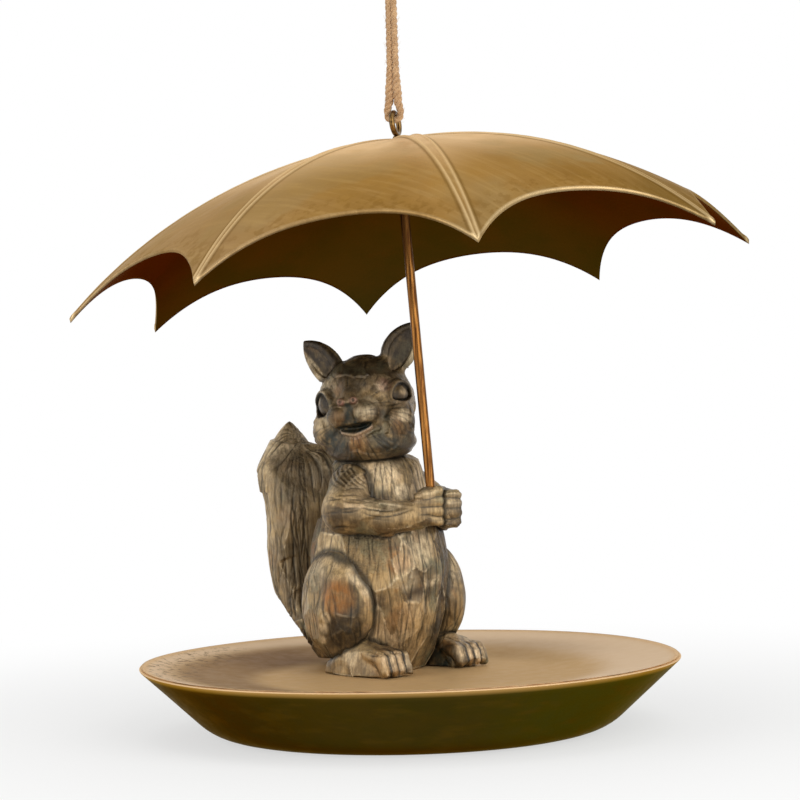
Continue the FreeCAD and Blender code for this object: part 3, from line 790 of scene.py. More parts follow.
def build_dish():
    """The dish turned from its profile, with a slightly uneven cast surface."""
    recess = DISH_FOOT - BASE_RING
    roof = FLOOR - FLOOR_THICKNESS
    corners = [
        ((0.0, FLOOR), 0.0),
        ((FLOOR_RADIUS, FLOOR), 9.0),
        ((DISH_RADIUS - LIP - 4.0, DISH_HEIGHT - 1.0), 6.0),
        ((DISH_RADIUS - LIP, DISH_HEIGHT), 1.6),
        ((DISH_RADIUS, DISH_HEIGHT), 1.5),
        ((DISH_FOOT, 0.0), 9.0),
        ((recess, 0.0), 0.8),
        ((recess - 2.0, roof), 1.5),
        ((0.0, roof), 0.0),
    ]
    profile = smooth_profile(corners, 2.0)
    sides = 240
    angles = np.arange(sides) * 2 * math.pi / sides
    outer = int(np.argmax(profile[:, 0]))
    east, north = np.cos(angles), np.sin(angles)
    facing = east * MOTTLED_WAY[0] + north * MOTTLED_WAY[1]
    rightward = east * IMAGE_RIGHT.x + north * IMAGE_RIGHT.y
    backward = north * IMAGE_RIGHT.x - east * IMAGE_RIGHT.y
    points, masks = [], {"wall": [], "mottle": [], "shade": [], "edge": [], "olive": []}
    for radius, height in profile:
        wave = 0.35 * np.sin(3 * angles + 1.1) + 0.25 * np.sin(5 * angles + 0.02 * radius)
        lift = wave * smoothstep(60.0, 95.0, radius) * smoothstep(5.0, 20.0, height)
        points.append(np.stack([radius * east, radius * north, height + lift * WAVE_HIGH], axis=1))
        # Painted light on the wall, starting nearer the middle on the right.
        past_wall = radius - WALL_AT + WALL_SHIFT * rightward
        masks["wall"].append(smoothstep(-WALL_SOFT, WALL_SOFT, past_wall))
        mottle = 0.7 * smoothstep(0.7, 0.95, facing)
        masks["mottle"].append(mottle * smoothstep(*MOTTLE_FROM, radius))
        # Painted shade in a trough, on the left and the far side.
        trough = smoothstep(*TROUGH_FROM, radius) * (1.0 - smoothstep(*TROUGH_TO, radius))
        shade = 0.8 * smoothstep(0.1, 0.8, -rightward) + 0.35 * smoothstep(0.2, 0.9, backward)
        masks["shade"].append(trough * clamp01(shade))
        # Painted highlight along the lip.
        near = math.hypot(radius - (DISH_RADIUS - 0.5 * LIP), (height - DISH_HEIGHT) * 1.3)
        masks["edge"].append(np.full(sides, float(1.0 - smoothstep(*LIP_HIGHLIGHT, near))))
        masks["olive"].append(smoothstep(0.1, 0.9, rightward))
    faces = [tuple(reversed(face)) for face in grid_faces(len(profile), sides)]
    dish = make_mesh("dish_cast", np.concatenate(points), faces, DISH_IN, DISH_OUT)
    for mask, rows in masks.items():
        paint(dish, mask, np.concatenate(rows))
    outside = np.arange(len(dish.data.polygons)) >= outer * sides
    dish.data.polygons.foreach_set("material_index", outside.astype(np.int32))
    dress(dish, "dish")


build_dish()


# Canopy


def canopy_turn():
    """The canopy's lean, from its own frame into the feeder's."""
    bearing = math.radians(LEAN_BEARING)
    axis = Vector((-math.sin(bearing), math.cos(bearing), 0))
    return np.array(Matrix.Rotation(math.radians(CANOPY_LEAN), 3, axis))


DOME = (CANOPY_RADIUS**2 + CANOPY_DROP**2) / (2 * CANOPY_DROP)
STEP = 360.0 / RIBS
CANOPY_MATRIX = canopy_turn()
# A rib is two raised lines on a low bed, which lie closest at the tip. The panels sag between ribs.
RIB_TIP_HALF, RIB_CROWN_EXTRA = 0.75, 2.3
RIB_LINE_WIDE, RIB_LINE_HIGH = 0.6, 0.5
RIB_BED_BESIDE, RIB_BED_HIGH = 1.2, 0.25
RIBS_BEGIN = (0.0, 0.08)
PANEL_SAG = 1.7
EDGE_BEAD = 0.15


def rim_radius(angles):
    """How far the scalloped edge is from the canopy's axis, at angles in degrees."""
    half = CANOPY_RADIUS * math.sin(math.radians(STEP / 2))
    round_off = (half**2 + SCALLOP_DEPTH**2) / (2 * SCALLOP_DEPTH)
    middle = CANOPY_RADIUS * math.cos(math.radians(STEP / 2)) - SCALLOP_DEPTH + round_off
    aside = np.radians((angles - RIB_PHASE) % STEP - STEP / 2)
    half_chord = np.sqrt(np.maximum(round_off**2 - (middle * np.sin(aside)) ** 2, 0.0))
    return np.minimum(middle * np.cos(aside) - half_chord, CANOPY_RADIUS)


def rib_distance(radius, angles):
    """Sideways distance in millimetres from the nearest rib's middle line."""
    off = (angles - RIB_PHASE + STEP / 2) % STEP - STEP / 2
    return radius * np.radians(off)


def dome_height(radius):
    return np.sqrt(DOME**2 - radius**2) - DOME


def to_feeder(local):
    return np.asarray(local) @ CANOPY_MATRIX.T + CROWN


def rib_half(share):
    """Half the distance between a rib's two lines; share runs from the crown to the tip."""
    return RIB_TIP_HALF + RIB_CROWN_EXTRA * (1.0 - share)


def rib_relief(share, aside):
    """Height of the doubled rib line above the sheet."""
    half = rib_half(share)
    hump = RIB_LINE_HIGH * np.exp(-(((np.abs(aside) - half) / RIB_LINE_WIDE) ** 2))
    bed = RIB_BED_HIGH * np.exp(-((aside / (half + RIB_BED_BESIDE)) ** 4))
    return (hump + bed) * smoothstep(*RIBS_BEGIN, share)


def build_canopy():
    """Sheet, doubled ribs, a rolled edge and the dark inside, in one mesh."""
    rows = 96
    fine = 40
    spread = np.linspace(-1, 1, 2 * fine + 1)[:-1]
    aside = np.sign(spread) * np.abs(spread) ** 1.9 * STEP / 2
    angles = np.concatenate([RIB_PHASE + number * STEP + aside for number in range(RIBS)])
    columns = len(angles)
    shares = np.linspace(0.012, 1.0, rows) ** 0.9
    limit = rim_radius(angles)
    plain = np.ones(columns)
    east, north = np.cos(np.radians(angles)), np.sin(np.radians(angles))
    top, under = [], []
    masks = {"edge": [], "rim": [], "crown": [], "crest": [], "foot": []}
    for share in shares:
        radius = limit * share
        off = rib_distance(radius, angles)
        panel = np.maximum(radius, 1.0) * math.radians(STEP)
        sag = PANEL_SAG * np.cos(np.pi * off / panel) ** 2 - PANEL_SAG
        sheet = dome_height(radius) + sag * smoothstep(0.05, 0.6, share)
        bead = EDGE_BEAD * smoothstep(0.985, 0.995, share)
        flat = np.stack([radius * east, radius * north], axis=1)
        top.append(np.column_stack([flat, sheet + rib_relief(share, off) + bead]))
        under.append(np.column_stack([flat * (1 - 0.002 * share), sheet - CANOPY_SHEET]))
        beside = np.abs(off) - rib_half(share)
        there = smoothstep(*RIBS_BEGIN, share)
        # Painted highlight on each rib line's crest and painted shade at its foot.
        masks["crest"].append(0.55 * there * np.exp(-((beside / RIB_LINE_WIDE) ** 2)))
        masks["foot"].append(0.6 * there * np.exp(-(((beside - 1.3) / 0.5) ** 2)))
        # Painted highlight along the edge.
        masks["edge"].append(plain * smoothstep(0.99, 1.0, share))
        masks["rim"].append(plain * 0.3 * smoothstep(0.86, 0.97, share))
        # Painted light, paler towards the crown.
        masks["crown"].append(plain * 0.75 * (1.0 - smoothstep(0.35, 0.8, share)))
    count = rows * columns
    upper = grid_faces(rows, columns)
    lower = [tuple(reversed(face)) for face in grid_faces(rows, columns, count)]
    last = count - columns
    skirt = []
    for column in range(columns):
        right = (column + 1) % columns
        skirt.append((last + column, last + right, count + last + right, count + last + column))
    points = to_feeder(np.concatenate(top + under))
    canopy = make_mesh("canopy_sheet", points, upper + skirt + lower, CANOPY_TOP, CANOPY_UNDER)
    materials = np.zeros(len(canopy.data.polygons), dtype=np.int32)
    materials[len(upper) + len(skirt):] = 1
    canopy.data.polygons.foreach_set("material_index", materials)
    painted = {name: np.concatenate(2 * layers) for name, layers in masks.items()}
    rightward = (points - CROWN) @ np.array(IMAGE_RIGHT) / CANOPY_RADIUS
    # The edge's painted highlight is strongest on part of the right side.
    edge_glint = smoothstep(0.05, 0.25, rightward) * (1.0 - smoothstep(0.5, 0.8, rightward))
    painted["edge"] *= 0.1 + 0.4 * edge_glint
    painted["olive"] = 0.25 + 0.45 * smoothstep(0.1, 0.7, rightward)
    # Painted light on the left side and painted shade on the right.
    painted["pale"] = 0.75 * smoothstep(0.1, 0.6, -rightward)
    painted["dim"] = 0.5 * smoothstep(0.5, 0.74, rightward)
    for name, values in painted.items():
        paint(canopy, name, values)
    dress(canopy, "canopy")


build_canopy()


# Figure: each casting is shaped as a distance field, meshed, and then carved

# Millimetres to a voxel, voxels to a block's edge, voxels of field on either side of the surface,
# and blocks from the surface within which each voxel is worked out.
VOXEL = 0.48
BLOCK = 4
BAND = 3
NEAR = 1.7


def in_figure(side, forward, height):
    """A point in the figure's own frame: to its left, in front of it, above the dish floor."""
    return FIGURE + np.array([side, -forward, height])


def ellipsoid(points, middle, radii):
    radii = np.asarray(radii, dtype=float)
    away = (points - middle) / radii
    reach = np.linalg.norm(away, axis=-1)
    pull = np.maximum(np.linalg.norm(away / radii, axis=-1), 1e-6)
    return np.where(reach > 0.02, reach * (reach - 1) / pull, -radii.min())


def taper(points, start, first, end, last):
    """A rod with round ends whose radius changes evenly from first to last."""
    along = np.asarray(end) - np.asarray(start)
    share = clamp01((points - start) @ along / (along @ along))
    gap = np.linalg.norm(points - start - share[..., None] * along, axis=-1)
    return gap - first - (last - first) * share


def merge(first, second, soft):
    """Smooth union of two fields."""
    share = clamp01(0.5 + 0.5 * (second - first) / soft)
    return second * (1 - share) + first * share - soft * share * (1 - share)


def carve(base, tool, soft):
    """Smooth subtraction of a tool from a base."""
    return -merge(-base, tool, soft)


def dense_rings(rings, tall, forward_unit, wide_unit):
    """A smooth table of height, forward place, half width and half depth, from a few rings."""
    table = np.array(rings) * np.array([tall, forward_unit, wide_unit, wide_unit])
    padded = np.vstack([2 * table[0] - table[1], table, 2 * table[-1] - table[-2]])
    rows = []
    for number in range(1, len(padded) - 2):
        before, start, end, after = padded[number - 1 : number + 3]
        for share in np.linspace(0.0, 1.0, 12, endpoint=False):
            bend = 2 * start + (end - before) * share
            bend = bend + (2 * before - 5 * start + 4 * end - after) * share**2
            rows.append(0.5 * (bend + (3 * start - before - 3 * end + after) * share**3))
    return np.array(rows + [table[-1]])


def loft(points, table, soft):
    """A body through level ellipses, with its two ends rounded off."""
    height = points[..., 2] - FLOOR
    forward, wide, deep = (np.interp(height, table[:, 0], table[:, column]) for column in (1, 2, 3))
    across = (points[..., 0] - FIGURE[0]) / wide
    along = (FIGURE[1] - points[..., 1] - forward) / deep
    reach = np.hypot(across, along)
    pull = np.maximum(np.hypot(across / wide, along / deep), 1e-6)
    sides = np.where(reach > 0.02, reach * (reach - 1) / pull, -np.minimum(wide, deep))
    rounded = -merge(-sides * 0.94, table[-1, 0] - height, soft)
    return np.maximum(rounded, table[0, 0] - height)


TORSO_TABLE = dense_rings(
    [
        (0.00, 0.00, 0.63, 0.56),
        (0.12, -0.04, 0.81, 0.78),
        (0.30, -0.06, 0.95, 0.94),
        (0.45, -0.07, 1.00, 1.00),
        (0.58, -0.09, 0.98, 0.98),
        (0.71, -0.07, 0.89, 0.87),
        (0.83, -0.06, 0.77, 0.73),
        (0.93, -0.07, 0.71, 0.66),
        (1.00, -0.09, 0.61, 0.56),
    ],
    TALL,
    TORSO,
    TORSO,
)
TAIL_TABLE = dense_rings(
    [
        (0.03, -1.04, 0.46, 0.34),
        (0.12, -1.19, 0.63, 0.46),
        (0.22, -1.49, 0.80, 0.54),
        (0.32, -1.67, 0.89, 0.57),
        (0.45, -1.73, 0.91, 0.60),
        (0.61, -1.74, 0.97, 0.63),
        (0.75, -1.87, 1.00, 0.66),
        (0.80, -1.88, 0.92, 0.62),
        (0.87, -1.90, 0.66, 0.46),
        (0.94, -1.92, 0.36, 0.26),
        (0.99, -1.92, 0.06, 0.05),
    ],
    TAIL_TALL,
    TORSO,
    TAIL_WIDE,
)
RIGHT, LEFT = -1.0, 1.0
SIDES = {RIGHT: "right", LEFT: "left"}


def torso_field(points):
    return loft(points, TORSO_TABLE, 5.0)


# Tufts that break the tail's outline: side, forward, height, and how far each leans out.
TAIL_TUFTS = [
    (-0.62, -1.78, 0.70, 3.4),
    (-0.66, -1.62, 0.44, 3.6),
    (0.60, -1.80, 0.66, 3.4),
    (0.64, -1.62, 0.40, 3.6),
    (0.05, -2.05, 0.58, 3.6),
    (0.0, -1.95, 0.32, 3.6),
]


def tail_field(points):
    field = loft(points, TAIL_TABLE, 1.5)
    curl = in_figure(0.28 * TORSO, -1.50 * TORSO, 0.67 * TAIL_TALL)
    field = merge(field, ellipsoid(points, curl, (10.0, 9.0, 22.0)), 5.0)
    root = in_figure(0.0, -1.05 * TORSO, 0.19 * TALL)
    field = merge(field, ellipsoid(points, root, (10.0, 14.0, 12.0)), 5.0)
    for side, forward, level, lean in TAIL_TUFTS:
        low = in_figure(side * TAIL_WIDE * 0.92, forward * TORSO, (level - 0.13) * TAIL_TALL)
        behind = 0.6 * lean * (0.3 * side * side + 0.15)
        high = low + np.array([side * lean, behind, 0.2 * TAIL_TALL])
        field = merge(field, taper(points, low, 2.2, high, 3.4), 3.0)
    return field


def haunch_middle(side):
    return in_figure(side * 0.815 * TORSO, 0.10 * side * TORSO, 0.32 * TALL)


def haunch_field(points, side):
    return ellipsoid(points, haunch_middle(side), (0.41 * TORSO, 0.65 * TORSO, 0.262 * TALL))


# Toes and the gaps between them, in foot widths from the foot's middle line.
TOES = (-0.33, -0.11, 0.11, 0.33)
TOE_GAPS = (-0.22, 0.0, 0.22)


def foot_middle(side):
    return in_figure(side * 0.77 * TORSO, 0.333 * TORSO, 0.0)


def foot_field(points, side):
    middle = foot_middle(side)
    field = ellipsoid(points, middle, (0.5 * FOOT_WIDE, 0.47 * FOOT_LONG, 0.82 * FOOT_WIDE))
    for share in TOES:
        bow = 0.10 * share * share
        root = middle + np.array([share * FOOT_WIDE * 0.8, -0.15 * FOOT_LONG, 8.6])
        knuckle = middle + np.array([share * FOOT_WIDE * 1.08, -(0.375 - bow) * FOOT_LONG, 7.0])
        tip = middle + np.array([share * FOOT_WIDE * 1.14, -(0.435 - bow) * FOOT_LONG, 2.6])
        front = taper(points, knuckle, 3.0, tip, 2.5)
        toe = merge(taper(points, root, 2.9, knuckle, 3.0), front, 0.8)
        field = merge(field, toe, 0.7)
    return np.maximum(field, FLOOR - points[..., 2])


# Spots along each arm from the shoulder to the wrist, with radii in arm radii.
ARM_CHAINS = {
    RIGHT: [
        (in_figure(-0.65 * TORSO, 0.04 * TORSO, 0.857 * TALL), 1.45),
        (in_figure(-0.94 * TORSO, 0.22 * TORSO, 0.756 * TALL), 1.36),
        (in_figure(-0.62 * TORSO, 0.68 * TORSO, 0.716 * TALL), 1.02),
        (GRIP + np.array([-1.17, 0.28, -0.56]) * ARM, 0.96),
    ],
    LEFT: [
        (in_figure(0.55 * TORSO, 0.0, 0.845 * TALL), 1.25),
        (in_figure(0.84 * TORSO, 0.36 * TORSO, 0.735 * TALL), 1.15),
        (in_figure(0.60 * TORSO, 0.70 * TORSO, 0.712 * TALL), 0.92),
        (GRIP + np.array([1.12, -0.08, -0.50]) * ARM, 0.90),
    ],
}
# Middle of each fist from the rod's grip, and its radii, in arm radii.
FISTS = {
    RIGHT: (np.array([-0.39, -0.03, 0.0]), np.array([0.98, 0.92, 1.22])),
    LEFT: (np.array([0.60, -0.42, -0.16]), np.array([1.02, 0.92, 1.28])),
}
# Each finger bends round the rod through three spots, in arm radii from the middle of its fist.
FINGER_SPOTS = {
    RIGHT: [(-0.95, -0.18), (0.08, -0.78), (0.80, -0.46)],
    LEFT: [(0.46, 0.10), (0.32, -0.70), (-0.42, -0.60)],
}
FINGER_LEVELS = (-0.93, -0.31, 0.31, 0.91)
FINGER_GAPS = (-0.62, 0.0, 0.61)
SHOULDER_CAP = in_figure(0.807 * TORSO, 0.02 * TORSO, 0.833 * TALL)


def finger_fan(side, across):
    """How far apart the fingers lie: closer together towards the wrist."""
    return 1.0 - 0.3 * smoothstep(0.0, 0.9, side * across)


def arm_field(points, side):
    chain = ARM_CHAINS[side]
    field = None
    for (start, first), (end, last) in zip(chain, chain[1:]):
        link = taper(points, start, first * ARM, end, last * ARM)
        field = link if field is None else merge(field, link, 2.4)
    if side == LEFT:
        field = merge(field, ellipsoid(points, SHOULDER_CAP, (5.0, 5.5, 5.5)), 3.0)
    offset, radii = FISTS[side]
    middle = GRIP + offset * ARM
    field = merge(field, ellipsoid(points, middle, radii * ARM), 1.6)
    for level in FINGER_LEVELS:
        spots = [
            middle + np.array([across, ahead, level * finger_fan(side, across)]) * ARM
            for across, ahead in FINGER_SPOTS[side]
        ]
        thick = (0.36 - 0.05 * abs(level)) * ARM
        finger = merge(
            taper(points, spots[0], thick, spots[1], thick * 1.06),
            taper(points, spots[1], thick * 1.06, spots[2], thick * 0.9),
            0.6,
        )
        field = merge(field, finger, 0.9)
    return field


def by_side(field):
    """A limb's field as one field for each side."""
    return {side: partial(field, side=side) for side in SIDES}


HAUNCHES, FEET, ARMS = by_side(haunch_field), by_side(foot_field), by_side(arm_field)

# Head, in its own frame: sizes in head radii, the face looks along -Y.
HEAD_MIDDLE = in_figure(-0.11 * TORSO, -0.14 * TORSO, TALL + HEAD)
HEAD_MATRIX = np.array(
    Matrix.Rotation(math.radians(HEAD_TURN), 3, "Z")
    @ Matrix.Rotation(math.radians(HEAD_TILT), 3, "Y")
)
EYE_SPOTS = {RIGHT: np.array([-0.71, -0.67, 0.14]), LEFT: np.array([0.90, -0.43, 0.12])}
# Half width, height of the upper lid and depth of the lower one.
EYE_SIZES = {RIGHT: (0.28, 0.23, 0.26), LEFT: (0.27, 0.20, 0.17)}
EAR_ROOT = np.array([0.66, 0.10, 0.72])
EAR_SPLAY = math.radians(33.0)
# Where the pale band along each ear's edge begins and is full, across the ear.
EAR_BANDS = {RIGHT: (0.10, 0.15), LEFT: (-0.17, -0.24)}


def mirrored(spot, side):
    """A spot of the face's left half on either side."""
    return np.array(spot) * [side, 1.0, 1.0]


def in_head(points):
    """Points of the feeder's frame in the head's own frame, in head radii."""
    return (points - HEAD_MIDDLE) @ HEAD_MATRIX / HEAD


def lens(across, along, wide, tall):
    """Signed distance to an almond of half width wide and half height tall."""
    reach = (wide**2 + tall**2) / (2 * tall)
    shift = reach - tall
    return np.maximum(np.hypot(across, along + shift), np.hypot(across, along - shift)) - reach


def almond(across, along, side):
    """Outline of an eye: two arcs that meet in its corners, which lie below its middle."""
    wide, high, low = EYE_SIZES[side]
    corner = -0.45 * high
    upper = (wide**2 + (high - corner) ** 2) / (2 * (high - corner))
    lower = (wide**2 + (low + corner) ** 2) / (2 * (low + corner))
    top = np.hypot(across, along - high + upper) - upper
    return np.maximum(top, np.hypot(across, along + low - lower) - lower)


def eye_frame(spots, side):
    """Place of points round one eye: across it, up it, above the brow, and along its axis."""
    reach = np.linalg.norm(EYE_SPOTS[side])
    out = EYE_SPOTS[side] / reach
    tall = UP - out * (UP @ out)
    tall /= np.linalg.norm(tall)
    wide = np.cross(tall, out)
    return spots @ wide, spots @ tall, np.linalg.norm(spots, axis=-1) - reach, spots @ out


def ear_frame(spots, side):
    """Place of points in one ear: across it, along it from its root, and behind its sheet."""
    root = mirrored(EAR_ROOT, side)
    along = np.array([side * math.sin(EAR_SPLAY), 0.10, math.cos(EAR_SPLAY)])
    along /= np.linalg.norm(along)
    behind = np.array([-0.42 * side, 0.90, 0.0])
    behind -= along * (behind @ along)
    behind /= np.linalg.norm(behind)
    across = np.cross(along, behind)
    away = spots - root
    return away @ across, away @ along, away @ behind


# Lumps of the head: middle, radii and how softly each joins what is there.
FACE_LUMPS = [
    ((-0.63, -0.42, -0.42), (0.45, 0.47, 0.45), 0.16),
    ((0.63, -0.42, -0.42), (0.45, 0.47, 0.45), 0.16),
    ((0.04, -0.38, -0.66), (0.80, 0.60, 0.38), 0.14),
    ((0.09, -0.16, -0.86), (0.87, 0.82, 0.34), 0.25),
    ((0.0, -0.70, -0.18), (0.58, 0.52, 0.42), 0.14),
]
MUZZLE_LUMPS = [
    ((-0.26, -1.02, -0.16), (0.30, 0.27, 0.25), 0.035),
    ((0.26, -1.02, -0.16), (0.30, 0.27, 0.25), 0.035),
    ((0.0, -0.80, -0.70), (0.40, 0.27, 0.20), 0.10),
]
# Bridge of the nose and the cleft under it: spots and half widths.
BRIDGE = ((0.0, -0.72, 0.36), 0.24, (0.0, -1.04, 0.10), 0.17)
CLEFT = ((0.0, -1.25, 0.0), 0.05, (0.0, -1.20, -0.40), 0.10)
# Crease between the muzzle and the left cheek, and the lower lip: spots and half widths.
CHEEK_LINE = [
    ((0.68, -0.80, -0.04), 0.03),
    ((0.62, -0.92, -0.38), 0.06),
    ((0.61, -0.86, -0.62), 0.02),
]
LIP_LINE = [
    ((-0.26, -1.0, -0.50), 0.05),
    ((0.0, -1.05, -0.585), 0.06),
    ((0.30, -0.98, -0.48), 0.05),
]
NOSTRIL = (0.125, -1.19, 0.11)


def along_line(spots, line, side=LEFT):
    """Distance to a bent rod through a few spots, on either side of the face."""
    knots = [(mirrored(spot, side), half) for spot, half in line]
    return np.min([taper(spots, *start, *end) for start, end in zip(knots, knots[1:])], axis=0)


def mouth_shape(spots):
    """The open, smiling mouth."""
    curved = spots.copy()
    curved[..., 2] -= 0.42 * spots[..., 0] ** 2
    return ellipsoid(curved, (0.03, -1.10, -0.445), (0.35, 0.30, 0.085))


def lumped(field, spots, lumps):
    for middle, radii, soft in lumps:
        field = merge(field, ellipsoid(spots, middle, radii), soft)
    return field


def head_shape(spots):
    """Distance field of the head, in head radii."""
    field = ellipsoid(spots, (0.0, 0.02, 0.02), (0.99, 0.96, 0.99))
    field = lumped(field, spots, FACE_LUMPS)
    field = merge(field, taper(spots, *BRIDGE), 0.16)
    field = lumped(field, spots, MUZZLE_LUMPS)
    field = carve(field, mouth_shape(spots), 0.05)
    field = merge(field, along_line(spots, LIP_LINE), 0.04)
    for side in SIDES:
        field = carve(field, along_line(spots, CHEEK_LINE, side), 0.07)
        field = eye_shape(field, spots, side)
        field = ear_shape(field, spots, side)
        nostril = mirrored(NOSTRIL, side)
        field = merge(field, ellipsoid(spots, nostril, (0.10, 0.09, 0.085)), 0.025)
        hole = ellipsoid(spots, nostril + [0.02 * side, -0.10, 0.0], (0.045, 0.06, 0.035))
        field = carve(field, hole, 0.02)
    field = merge(field, ellipsoid(spots, (0.0, -1.17, 0.06), (0.08, 0.08, 0.08)), 0.03)
    return carve(field, taper(spots, *CLEFT), 0.05)


def eye_shape(field, spots, side):
    """Almond eye: a hollow in the brow, the eyeball in it and a lid that rims it."""
    across, along, depth, reach = eye_frame(spots, side)
    facing = np.where(reach > 0, almond(across, along, side), 1.0)
    field = carve(field, np.maximum(facing, -(depth + 0.085)), 0.02)
    wide, high, _ = EYE_SIZES[side]
    crown = 0.04 - 0.08 * ((across / wide) ** 2 + (along / high) ** 2)
    ball = np.max([facing + 0.03, depth - crown, -depth - 0.3], axis=0)
    field = merge(field, ball, 0.02)
    thick = 0.03 + 0.024 * smoothstep(-0.05, 0.12, along)
    lid = np.hypot(facing - 0.03, 0.85 * (depth - 0.012)) - thick
    return merge(field, lid, 0.03)


def ear_shape(field, spots, side):
    """Leaf-shaped ear with a hollow front."""
    across, along, behind = ear_frame(spots, side)
    leaf = lens(along - 0.28, across, 0.64, 0.35)
    sheet = np.abs(behind - 0.5 * across**2) - (0.135 - 0.09 * clamp01(along))
    plate = -merge(-leaf, -sheet, 0.06)
    field = merge(field, plate, 0.10)
    bowl = lens(along - 0.30, across, 0.46, 0.20)
    front = np.maximum(bowl, behind - 0.5 * across**2 + 0.035)
    return carve(field, np.maximum(front, -behind - 0.35), 0.06)


def head_field(points):
    return head_shape(in_head(points)) * HEAD


def sculpt(field, low, high):
    """Mesh a field: whole blocks far from the surface are skipped."""
    step = BLOCK * VOXEL
    low = np.asarray(low, dtype=float)
    counts = np.ceil((np.asarray(high) - low) / step).astype(int)
    blocks = np.stack(np.meshgrid(*[np.arange(count) for count in counts], indexing="ij"), axis=-1)
    far = field(low + (blocks + 0.5) * step)
    full = np.where(far > 0, BAND * VOXEL, -BAND * VOXEL)
    for axis in range(3):
        full = np.repeat(full, BLOCK, axis=axis)
    inside = np.stack(np.meshgrid(*[np.arange(BLOCK)] * 3, indexing="ij"), axis=-1).reshape(-1, 3)
    cells = (blocks[np.abs(far) < NEAR * step][:, None, :] * BLOCK + inside).reshape(-1, 3)
    full[cells[:, 0], cells[:, 1], cells[:, 2]] = field(low + (cells + 0.5) * VOXEL)
    grid = openvdb.FloatGrid(BAND * VOXEL)
    grid.copyFromArray(np.ascontiguousarray(full, dtype=np.float32))
    points, quads = grid.convertToQuads(isovalue=0.0)
    return low + (points.astype(float) + 0.5) * VOXEL, quads.astype(int)


def normals_of(points, quads):
    """A unit normal at each point of a quad mesh."""
    one, two, three, four = (points[quads[:, corner]] for corner in range(4))
    face = np.cross(three - one, four - two)
    total = np.zeros_like(points)
    for corner in range(4):
        for axis in range(3):
            total[:, axis] += np.bincount(quads[:, corner], face[:, axis], len(points))
    return total / np.maximum(np.linalg.norm(total, axis=1, keepdims=True), 1e-9)


# How each casting is carved: spacing, depth and tilt of its facets, and number, length, width and
# depth of its tool lines, in millimetres.
CARVING = {
    "torso": ((9.5, 0.45, 0.10), (400, 15.0, 0.34, 0.5)),
    "tail": ((11.0, 0.55, 0.13), (420, 14.0, 0.4, 0.5)),
    "haunch": ((9.0, 0.5, 0.12), (130, 10.0, 0.32, 0.42)),
    "foot": ((7.0, 0.32, 0.12), (30, 6.0, 0.32, 0.35)),
    "arm": ((9.0, 0.3, 0.10), (90, 8.0, 0.3, 0.36)),
    "head": ((7.5, 0.24, 0.11), (420, 5.0, 0.26, 0.2)),
}
# Corners of the box that a casting is meshed in, from its middle, in millimetres.
BOXES = {
    "torso": ([-32, -32, -2], [32, 32, 88]),
    "tail": ([-26, 16, -1], [26, 76, 104]),
    "haunch": ([-14, -21, -25], [14, 21, 25]),
    "foot": ([-13, -25, -2], [13, 25, 17]),
    "head": ([-30, -30, -30], [34, 34, 34]),
}
ARM_MARGIN = 13
# Radii round which the haunches and arms are unrolled, and the tail's axis behind the figure.
HAUNCH_ROUND, ARM_ROUND = 13.0, 16.0
TAIL_AXIS = [0, 45, 0]
# Points tried as the middle of a facet, a facet's reach in spacings, and how alike two normals
# have to be to lie on one facet.
FACET_TRIES = 5000
FACET_REACH = 1.7
FACET_ALIKE = 0.35
LINE_SLANT, LINE_BEND = 0.10, 0.25


def chisel(points, normals, random, spacing, depth, tilt):
    """Flat chisel facets: the cut, the nearness to a ridge, and a random share for each facet."""
    tries = random.permutation(len(points))[:FACET_TRIES]
    seeds = [tries[0]]
    for index in tries[1:]:
        if ((points[seeds] - points[index]) ** 2).sum(axis=1).min() > spacing**2:
            seeds.append(index)
    best = np.full(len(points), -1e3)
    second = np.full(len(points), -1e3)
    lot = np.zeros(len(points))
    reach = FACET_REACH * spacing
    for seed in seeds:
        away = points - points[seed]
        gap = np.linalg.norm(away, axis=1)
        near = np.nonzero((gap < reach) & (normals @ normals[seed] > FACET_ALIKE))[0]
        way = normals[seed] + random.normal(0.0, tilt, 3)
        way /= np.linalg.norm(way)
        over = away[near] @ way + depth * random.uniform(0.7, 1.3)
        over = over - 2.5 * depth * (gap[near] / reach) ** 4
        higher = over > best[near]
        second[near] = np.where(higher, best[near], np.maximum(second[near], over))
        best[near] = np.where(higher, over, best[near])
        lot[near] = np.where(higher, random.uniform(), lot[near])
    cut = np.clip(best, 0.0, 2.2 * depth)
    ridge = (1.0 - smoothstep(0.0, 0.35 * depth + 0.05, best - second)) * (best > 0.05 * depth)
    return cut, ridge, lot


def scratches(across, along, random, count, long, wide, deep):
    """Long fine tool lines on an unrolled surface: how deep each point lies in one."""
    low = np.array([across.min(), along.min()])
    high = np.array([across.max(), along.max()])
    groove = np.zeros(len(across))
    for _ in range(count):
        middle = random.uniform(low, high)
        lean = random.normal(0.0, LINE_SLANT)
        half = long * random.uniform(0.35, 1.0)
        bend = random.normal(0.0, LINE_BEND) / long
        near = np.nonzero(np.abs(along - middle[1]) < half)[0]
        run = along[near] - middle[1]
        off = across[near] - middle[0] - lean * run - bend * run**2
        fade = 1.0 - (run / half) ** 2
        line = random.uniform(0.55, 1.0) * fade * np.exp(-((off / wide) ** 2))
        groove[near] = np.maximum(groove[near], line)
    return groove * deep, groove


def blob(points, spot, reach):
    """Soft patch of paint round a spot: 1 in its middle, 0 at its reach."""
    return 1.0 - smoothstep(0.45 * reach, reach, np.linalg.norm(points - spot, axis=1))


FIGURE_MASKS = ("tone", "hollow", "ridge", "copper", "pale", "pink", "teal", "dark", "stipple")


def finish_casting(node, points, quads, masks):
    """Make one casting of the figure, with its paint masks, in place of its node."""
    item = make_mesh(node + "_carved", points, quads, BRONZE)
    for mask in FIGURE_MASKS:
        paint(item, mask, clamp01(masks.get(mask, np.zeros(len(points)))))
    dress(item, node)


